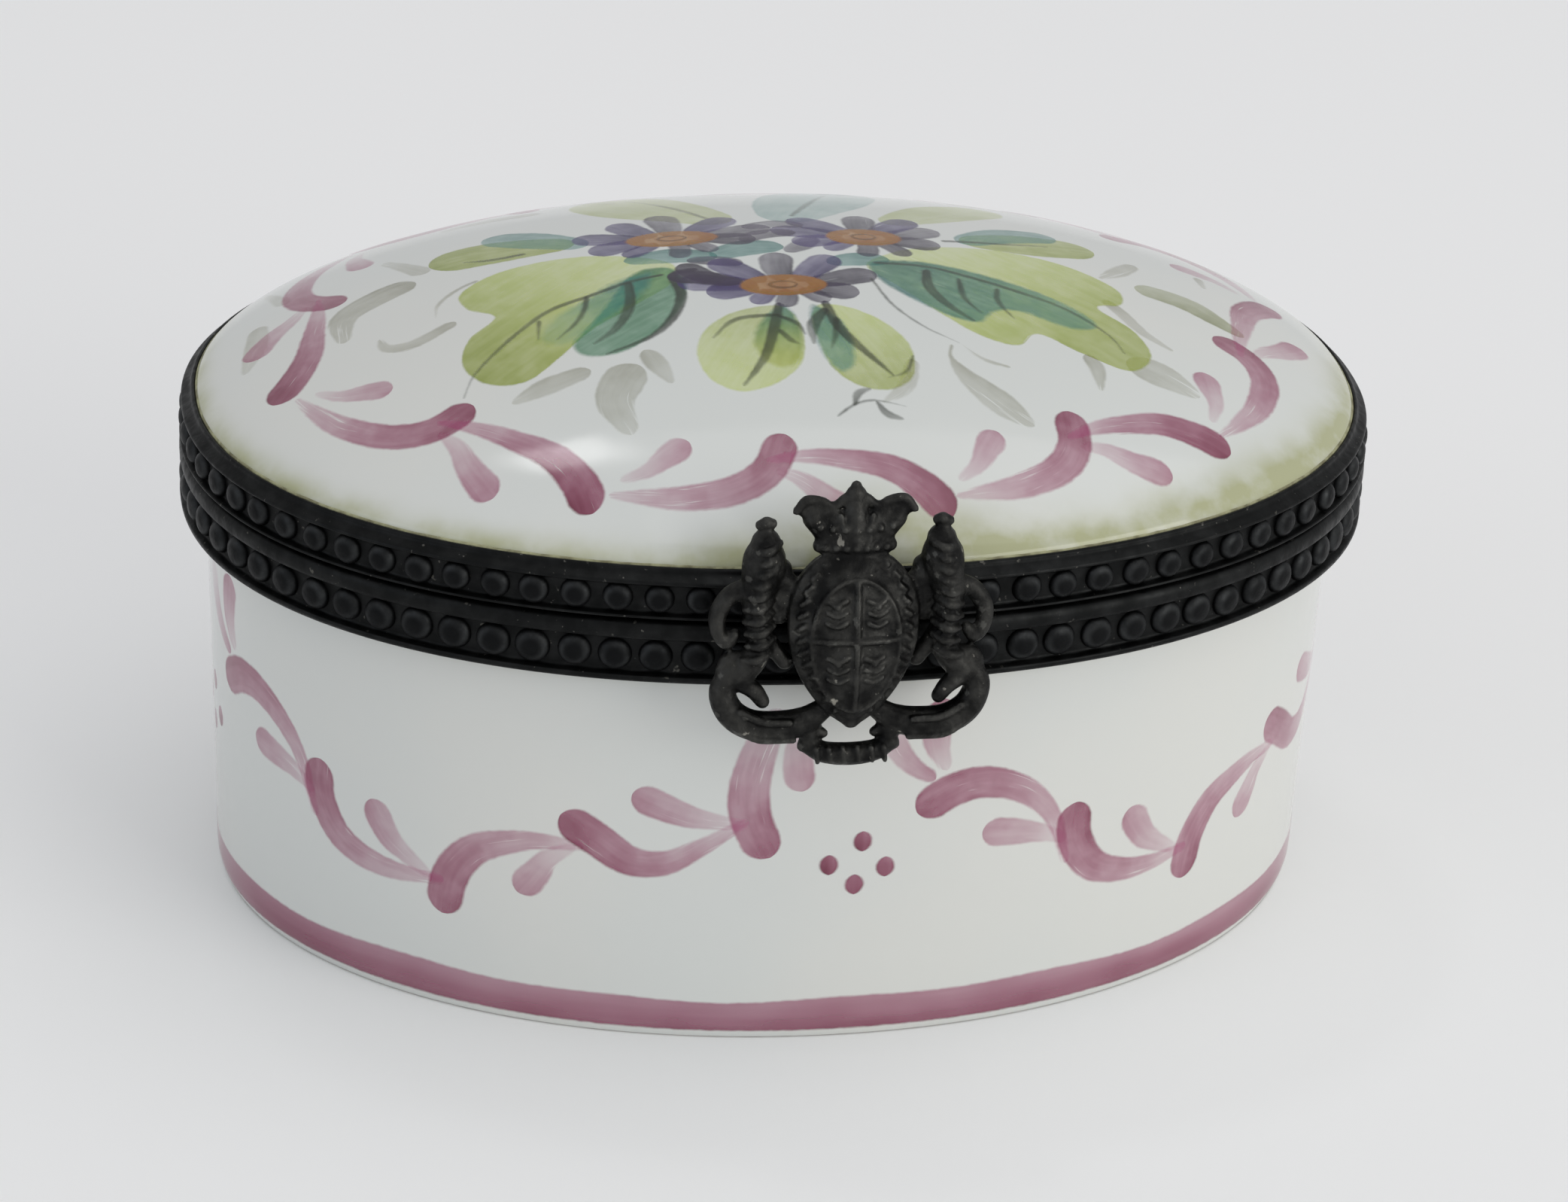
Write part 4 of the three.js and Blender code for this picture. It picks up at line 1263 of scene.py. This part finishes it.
def lid_leaf_shades():
    """Teal shading laid over the leaves near the flowers."""
    painting = Painting(on_dome, layer=3, layers=3)
    painting.wash([(-5.8, -0.2), (-5.1, -2.2), (-5.6, -4.6), (-7.0, -6.8), (-9.0, -8.3), (-10.8, -8.3),
                   (-11.4, -7.0), (-10.2, -5.2), (-9.0, -3.0), (-7.6, -0.5)],
                  SEA_GREEN, 1.1, SEA_GREEN, 0.85, toward=215, soft=1.6)
    painting.wash([(-6.6, -0.6), (-8.6, -1.2), (-10.4, -2.8), (-12.2, -4.4), (-13.0, -6.2),
                   (-11.8, -7.2), (-10.2, -6.2), (-8.6, -4.6), (-7.0, -2.6)],
                  TEAL, 0.95, TEAL, 0.12, toward=205, soft=3.0)
    painting.wash([(4.2, -0.3), (6.6, 0.1), (9.2, -0.7), (12.0, -2.2), (14.2, -4.0), (15.0, -5.6),
                   (13.4, -6.2), (11.2, -5.1), (9.8, -5.3), (8.9, -6.4), (7.4, -6.1), (5.6, -4.4),
                   (4.3, -2.4)], TEAL, 1.15, TEAL, 0.6, toward=-35, soft=1.8)
    painting.wash([(-0.9, -4.9), (-2.1, -6.2), (-2.8, -8.0), (-2.5, -9.8), (-1.4, -10.5), (-0.4, -9.6),
                   (-0.1, -7.8), (-0.3, -5.6)], TEAL, 0.95, LEAF, 0.5, toward=-95, soft=2.0)
    painting.wash([(0.8, -4.9), (1.9, -6.4), (2.3, -8.5), (2.0, -10.4), (1.1, -10.9), (0.4, -9.4),
                   (0.2, -7.4), (0.3, -5.6)], TEAL, 1.0, TEAL, 0.5, toward=-80, soft=2.0)
    strokes(painting, TEAL, [
        ([(-9.8, 3.9), (-12, 5.6), (-13.8, 6.8)], (1.6, 2.6, 2.1), 0.75),
        ([(9.8, 3.4), (12, 4.9), (14.5, 5.7)], (1.6, 2.4, 1.9), 0.75),
        ([(1.0, 6.2), (2.0, 8.6), (3.4, 11.2), (4.6, 13.4)], (2.4, 5.0, 6.0, 4.8), 0.42),
        ([(-7.6, 0.9), (-5.6, 1.1), (-3.7, 0.7)], (1.1, 2.0, 1.5), 0.95),
        ([(-3.2, 0.9), (-1.6, 1.7), (-0.2, 1.7)], (1.4, 2.2, 1.5), 0.95),
        ([(2.4, -0.4), (3.6, 0.0), (4.9, 0.0)], (1.1, 1.8, 1.5), 0.85),
    ])
    painting.piece("lid_leaf_shades", "lid")


def lid_veins():
    """Dark lines drawn last over the leaves, strongest beside the flowers."""
    painting = Painting(on_dome, layer=8, layers=2)
    thin, medium, thick = (0.3, 0.34, 0.16), (0.44, 0.48, 0.24), (0.6, 0.8, 0.3)
    strokes(painting, VEIN, [
        ([(-6.3, -1.2), (-8, -1.7), (-10, -2.7), (-12, -3.6), (-13.5, -5), (-15, -6.7), (-16.2, -8.3),
          (-16.8, -9.8)], medium, 0.62),
        ([(-10.2, -2.8), (-10.4, -4), (-11, -5.3), (-12, -6.5)], medium, 0.62),
        ([(-8, -1.8), (-8.2, -4), (-9, -6), (-10.3, -7.3)], thick, 0.7),
        ([(-12.7, -4.6), (-12.9, -6.3)], medium, 0.5),
        ([(-4.6, -0.9), (-5.7, -1.3), (-5.6, -3.5), (-6.2, -5.5), (-7.5, -7.2), (-9.8, -8.3)],
         thick, 0.95),
        ([(4.5, -0.5), (7, -0.7), (9, -1.6), (11, -2.7), (13.5, -4.2), (15.3, -6.3), (15.8, -7.8)],
         medium, 0.62),
        ([(7, -1.2), (6.8, -3), (7.4, -4.8), (8.5, -6.3)], thick, 0.75),
        ([(8.5, -2), (8.4, -4), (9, -5.5)], medium, 0.65),
        ([(10.3, -2.8), (10.1, -4.2), (10.6, -5.8)], medium, 0.6),
        ([(4.0, -2.4), (4.6, -5), (5.8, -7.0), (7.4, -8.4)], thin, 0.55),
        ([(-1.0, -5), (-1.5, -7), (-2.3, -9.5), (-3.6, -11.6)], thick, 0.8),
        ([(-1.2, -6.0), (-3.3, -6.3), (-4.6, -7.8)], medium, 0.6),
        ([(-1.2, -6.1), (-0.4, -6.8), (-0.1, -7.8)], medium, 0.6),
        ([(-1.3, -7.4), (-0.9, -8.2), (-0.5, -8.6)], medium, 0.6),
        ([(1.3, -4.9), (1.6, -7), (2.4, -8.9), (3.7, -11.1)], thick, 0.85),
        ([(1.2, -5.6), (0.4, -7.0), (0.2, -8.6)], thick, 0.7),
        ([(1.6, -6.4), (1.4, -7.8), (1.0, -9.0)], medium, 0.6),
        ([(4.9, -9.6), (4.4, -10.8), (3.4, -11.3)], thin, 0.5),
        ([(-12.6, 3.6), (-14.2, 3.5), (-15.6, 3.9)], medium, 0.6),
        ([(8.6, 3.0), (10.3, 3.2), (12.0, 3.4), (14.2, 3.9)], medium, 0.6),
        ([(-3.0, 6.5), (-4.6, 9.5), (-6.4, 12.4)], medium, 0.35),
        ([(1.4, 6.6), (2.8, 9.6), (4.2, 12.8)], medium, 0.35),
        # A small leaf flourish below the bouquet
        ([(0.6, -13.9), (1.6, -13.1), (2.6, -12.9), (4.0, -13.3)], thin, 0.6),
        ([(1.5, -13.2), (1.8, -12.4), (2.4, -12.1)], (0.3, 0.6, 0.3), 0.5),
        ([(2.6, -13.0), (3.0, -13.8), (3.7, -14.1)], (0.3, 0.6, 0.3), 0.5),
    ], head=0.55, tail=1.15)
    painting.piece("lid_veins", "lid")


DAISIES = (
    {"at": (-0.5, -3.1), "eye": (4.5, 2.4), "top": 2.6, "bottom": 1.0},
    {"at": (-5.2, 3.3), "eye": (4.8, 2.4), "top": 2.6, "bottom": 1.4},
    {"at": (4.5, 2.9), "eye": (4.0, 2.6), "top": 2.4, "bottom": 1.4},
)


def lid_petals():
    """Rounded petals of three daisies, violet to the left and slate elsewhere."""
    painting = Painting(on_dome, layer=9, layers=4)
    count = 10
    for daisy in DAISIES:
        (x, y), (wide, tall) = daisy["at"], daisy["eye"]
        for k in range(count):
            turn = (k + 0.5 + rng.uniform(-0.16, 0.16)) / count * 2 * math.pi
            out_x, out_y = math.cos(turn), math.sin(turn)
            start_x, start_y = x + wide * 0.36 * out_x, y + tall * 0.34 * out_y
            upper = min(1, max(0, out_y * 1.6 + 0.9))
            reach = daisy["bottom"] + (daisy["top"] - daisy["bottom"]) * upper
            reach *= rng.uniform(0.92, 1.14)
            bend = rng.uniform(-0.25, 0.25)
            tip_x = start_x + reach * out_x * 1.05 - bend * out_y
            tip_y = start_y + reach * out_y + bend * out_x
            middle = ((start_x + tip_x) / 2 + bend * out_y * 0.5, (start_y + tip_y) / 2)
            violet = out_x < -0.35 or (0 < k < 4 and k % 2)
            density = rng.uniform(0.95, 1.3) if violet else rng.uniform(0.7, 1.1)
            wide_end = 2.0 if out_y > -0.4 else 1.4
            rows = [(start_x, start_y, 1.2), (*middle, wide_end * 0.9), (tip_x, tip_y, wide_end)]
            painting.stroke(rows, density, VIOLET if violet else SLATE, dry=0.1, head=0.85, tail=1.15)
    # Loose dabs that fill the gaps between the three flowers
    strokes(painting, SLATE, [
        ([(-1.6, 2.6), (-0.6, 3.4), (0.8, 3.6)], (1.0, 1.5, 1.2), 0.8),
        ([(-1.2, 4.6), (0.2, 5.0), (1.4, 4.8)], (1.0, 1.4, 1.1), 0.6),
        ([(0.4, 1.0), (1.2, 1.8), (1.8, 2.6)], (0.9, 1.4, 1.1), 0.7),
        ([(-4.6, 0.2), (-3.4, 0.0), (-2.4, -0.4)], (0.9, 1.3, 1.0), 0.8),
    ])
    # The darkest petals, beside the front flower
    for end in ((-5.6, -1.6), (-5.0, -0.6)):
        painting.stroke([(-2.7, -2.6, 1.0), (-4.1, -2.0, 1.6), (*end, 1.6)], 1.4, SLATE, dry=0.05)
    painting.piece("lid_petals", "lid")


def lid_daisy_centres():
    """Orange eyes with a darker ring inside and along the lower edge."""
    painting = Painting(on_dome, layer=13, layers=3)
    for daisy in DAISIES:
        (x, y), (wide, tall) = daisy["at"], daisy["eye"]
        around = [(math.cos(a), math.sin(a)) for a in np.linspace(0, 2 * math.pi, 12, endpoint=False)]
        painting.wash([(x + wide / 2 * c, y + tall / 2 * s) for c, s in around],
                      ORANGE, 0.95, ORANGE, 1.3, toward=-60)
        ring = [(x + 0.15 * wide * math.cos(a), y + 0.15 * tall * math.sin(a))
                for a in np.linspace(0.3, 2 * math.pi + 0.1, 9)]
        painting.stroke(with_widths(ring, (0.3, 0.42, 0.3)), 1.1, AMBER, dry=0.0, head=1.0, tail=0.8)
        lower = [(x + 0.43 * wide * math.cos(a), y + 0.40 * tall * math.sin(a))
                 for a in np.linspace(math.pi * 1.05, math.pi * 1.9, 6)]
        painting.stroke(with_widths(lower, (0.2, 0.5, 0.25)), 0.5, AMBER, dry=0.0, head=1.0, tail=0.8)
    painting.piece("lid_daisy_centres", "lid")


def lid_accents():
    """Pale taupe fronds scattered between the leaves and the garland."""
    painting = Painting(on_dome, layer=0, layers=3)
    fade = (0.35, 1.0, 0.8)

    def sized(width):
        return [1.15 * width * share for share in fade]

    strokes(painting, TAUPE, [
        ([(-22, -2), (-21.8, 0.5), (-20, 2), (-18.6, 2.6)], sized(1.9), 0.75),
        ([(-20.3, -3), (-20, -4), (-18.7, -4.2), (-16.8, -3.1)], sized(0.9), 0.6),
        ([(-17.5, -2.2), (-17.3, -0.8), (-16.3, 0.5), (-15.2, 1.2)], sized(0.4), 0.6),
        ([(-26.8, -1.5), (-26.2, 0.5), (-25.9, 3)], sized(1.2), 0.4),
        ([(-25.2, 8.5), (-24.5, 5.5)], sized(1.2), 0.35),
        ([(-19.3, 6.8), (-17.7, 4)], sized(1.6), 0.45),
        ([(-14.5, -10.8), (-13, -10.1), (-11, -9.4)], sized(1.2), 0.6),
        ([(-9.3, -13.9), (-9.8, -12), (-9.3, -10.5), (-8.8, -9.8)], sized(2.2), 0.55),
        ([(-7, -10.9), (-7.5, -9.5), (-7.9, -8.5)], sized(1.1), 0.5),
        ([(10, -14), (8.8, -12.8), (7.4, -11), (6.8, -9.5), (7, -8.5)], (0.6, 1.8, 1.2, 0.4, 0.3), 0.6),
        ([(7.5, -8.4), (8.4, -9.5), (9.6, -10)], sized(0.35), 0.5),
        ([(14, -11), (14.1, -9.3), (13.8, -8.5)], sized(0.9), 0.6),
        ([(19, -10), (17.5, -9), (16.3, -8.5)], sized(2), 0.5),
        ([(18.5, -6.5), (17.3, -5.3), (16.5, -3.5), (16, -2.5)], sized(0.9), 0.6),
        ([(16.3, 0.5), (17.5, 1.8), (18.6, 3.3)], sized(1.0), 0.5),
        ([(22.3, 2.6), (22.3, 4.0)], sized(0.9), 0.5),
        ([(3, -12.9), (4.2, -11.8), (4.8, -10)], sized(0.9), 0.4),
        ([(24.6, 6.4), (23.4, 8.0), (21.9, 9.2)], sized(1.2), 0.4),
        ([(-16.0, 11.5), (-13.6, 12.2), (-11.2, 12.0)], sized(1.3), 0.4),
        ([(15.0, 11.4), (13.0, 12.6), (11.0, 13.0)], sized(1.3), 0.4),
        ([(-9.4, 15.2), (-8.0, 14.0), (-7.2, 12.4)], sized(1.2), 0.4),
    ], head=0.95, tail=0.5, dry=0.5)
    strokes(painting, OLIVE, [
        ([(22.9, -2.9), (21.7, -1.7), (20.5, -0.6), (18.5, 0)], sized(1.9), 0.7),
    ], head=0.7, tail=1.1, dry=0.3)
    painting.piece("lid_accents", "lid")


# --- stage --------------------------------------------------------------------------

def floor():
    """A plain pale floor, in metres, with the faintest unevenness."""
    half = 3.0
    mesh = bpy.data.meshes.new("floor")
    outline = [(-half, -half, 0), (half, -half, 0), (half, half, 0), (-half, half, 0)]
    mesh.from_pydata(outline, [], [(0, 1, 2, 3)])
    finish = Finish("pale_floor", Roughness=0.7)
    finish.colour(finish.mix(finish.noise(8, 2), (0.92, 0.92, 0.92), (0.94, 0.94, 0.94)))
    mesh.materials.append(finish.material)
    plane = bpy.data.objects.new("floor", mesh)
    bpy.context.scene.collection.objects.link(plane)


def area_light(name, at, target, size, power, colour):
    """A rectangular lamp aimed at a target, in metres and watts."""
    lamp = bpy.data.lights.new(name, "AREA")
    lamp.shape = "RECTANGLE"
    lamp.size, lamp.size_y = size
    lamp.energy = power
    lamp.color = colour
    holder = bpy.data.objects.new(name, lamp)
    holder.location = at
    holder.rotation_euler = (Vector(target) - Vector(at)).to_track_quat("-Z", "Y").to_euler()
    bpy.context.scene.collection.objects.link(holder)


def lights():
    """A broad soft ceiling with a small skylight, a cool dim left and a warm bright right."""
    middle = (0, 0, SEAM * MM)
    area_light("ceiling", (0.22, -0.04, 0.75), middle, (0.7, 0.6), 0.95, (1.0, 0.995, 0.985))
    area_light("skylight", (-0.10, 0.24, 0.72), middle, (0.12, 0.08), 0.16, (1.0, 1.0, 1.0))
    area_light("window", (-0.62, -0.30, 0.30), middle, (0.42, 0.34), 0.36, (0.74, 0.84, 1.0))
    area_light("fill", (0.52, -0.52, 0.22), middle, (0.52, 0.40), 1.9, (1.0, 0.985, 0.95))
    world = bpy.data.worlds.new("studio")
    world.use_nodes = True
    sky = world.node_tree.nodes["Background"]
    sky.inputs["Color"].default_value = (0.98, 0.985, 1.0, 1)
    sky.inputs["Strength"].default_value = 0.59
    bpy.context.scene.world = world


def camera():
    """The camera looks down at the front from a little to its left."""
    back = np.array((math.sin(VIEW_TURN) * math.cos(VIEW_HEIGHT),
                     -math.cos(VIEW_TURN) * math.cos(VIEW_HEIGHT), math.sin(VIEW_HEIGHT)))
    right = np.array((math.cos(VIEW_TURN), math.sin(VIEW_TURN), 0.0))
    up = np.cross(back, right)
    place = right * VIEW_RIGHT + up * VIEW_UP + back * VIEW_DISTANCE + (0, 0, SEAM)
    axis_x = math.cos(VIEW_ROLL) * right + math.sin(VIEW_ROLL) * up
    axis_y = math.cos(VIEW_ROLL) * up - math.sin(VIEW_ROLL) * right
    data = bpy.data.cameras.new("camera")
    data.lens, data.sensor_width = LENS, SENSOR
    data.clip_start = 0.01
    holder = bpy.data.objects.new("camera", data)
    turned = Matrix((axis_x, axis_y, back)).transposed().to_4x4()
    holder.matrix_world = Matrix.Translation(Vector(place * MM)) @ turned
    bpy.context.scene.collection.objects.link(holder)
    bpy.context.scene.camera = holder


camera()
lights()
floor()
base_bowl()
lid_dome()
bezels()
beads("lid", LID_BEAD)
beads("base", BASE_BEAD)
cement()
hinge()
crest()
catch()
lid_garland()
lid_leaves()
lid_leaf_shades()
lid_veins()
lid_petals()
lid_daisy_centres()
lid_accents()
base_garland()
base_line()
bpy.context.scene.view_settings.view_transform = "Standard"
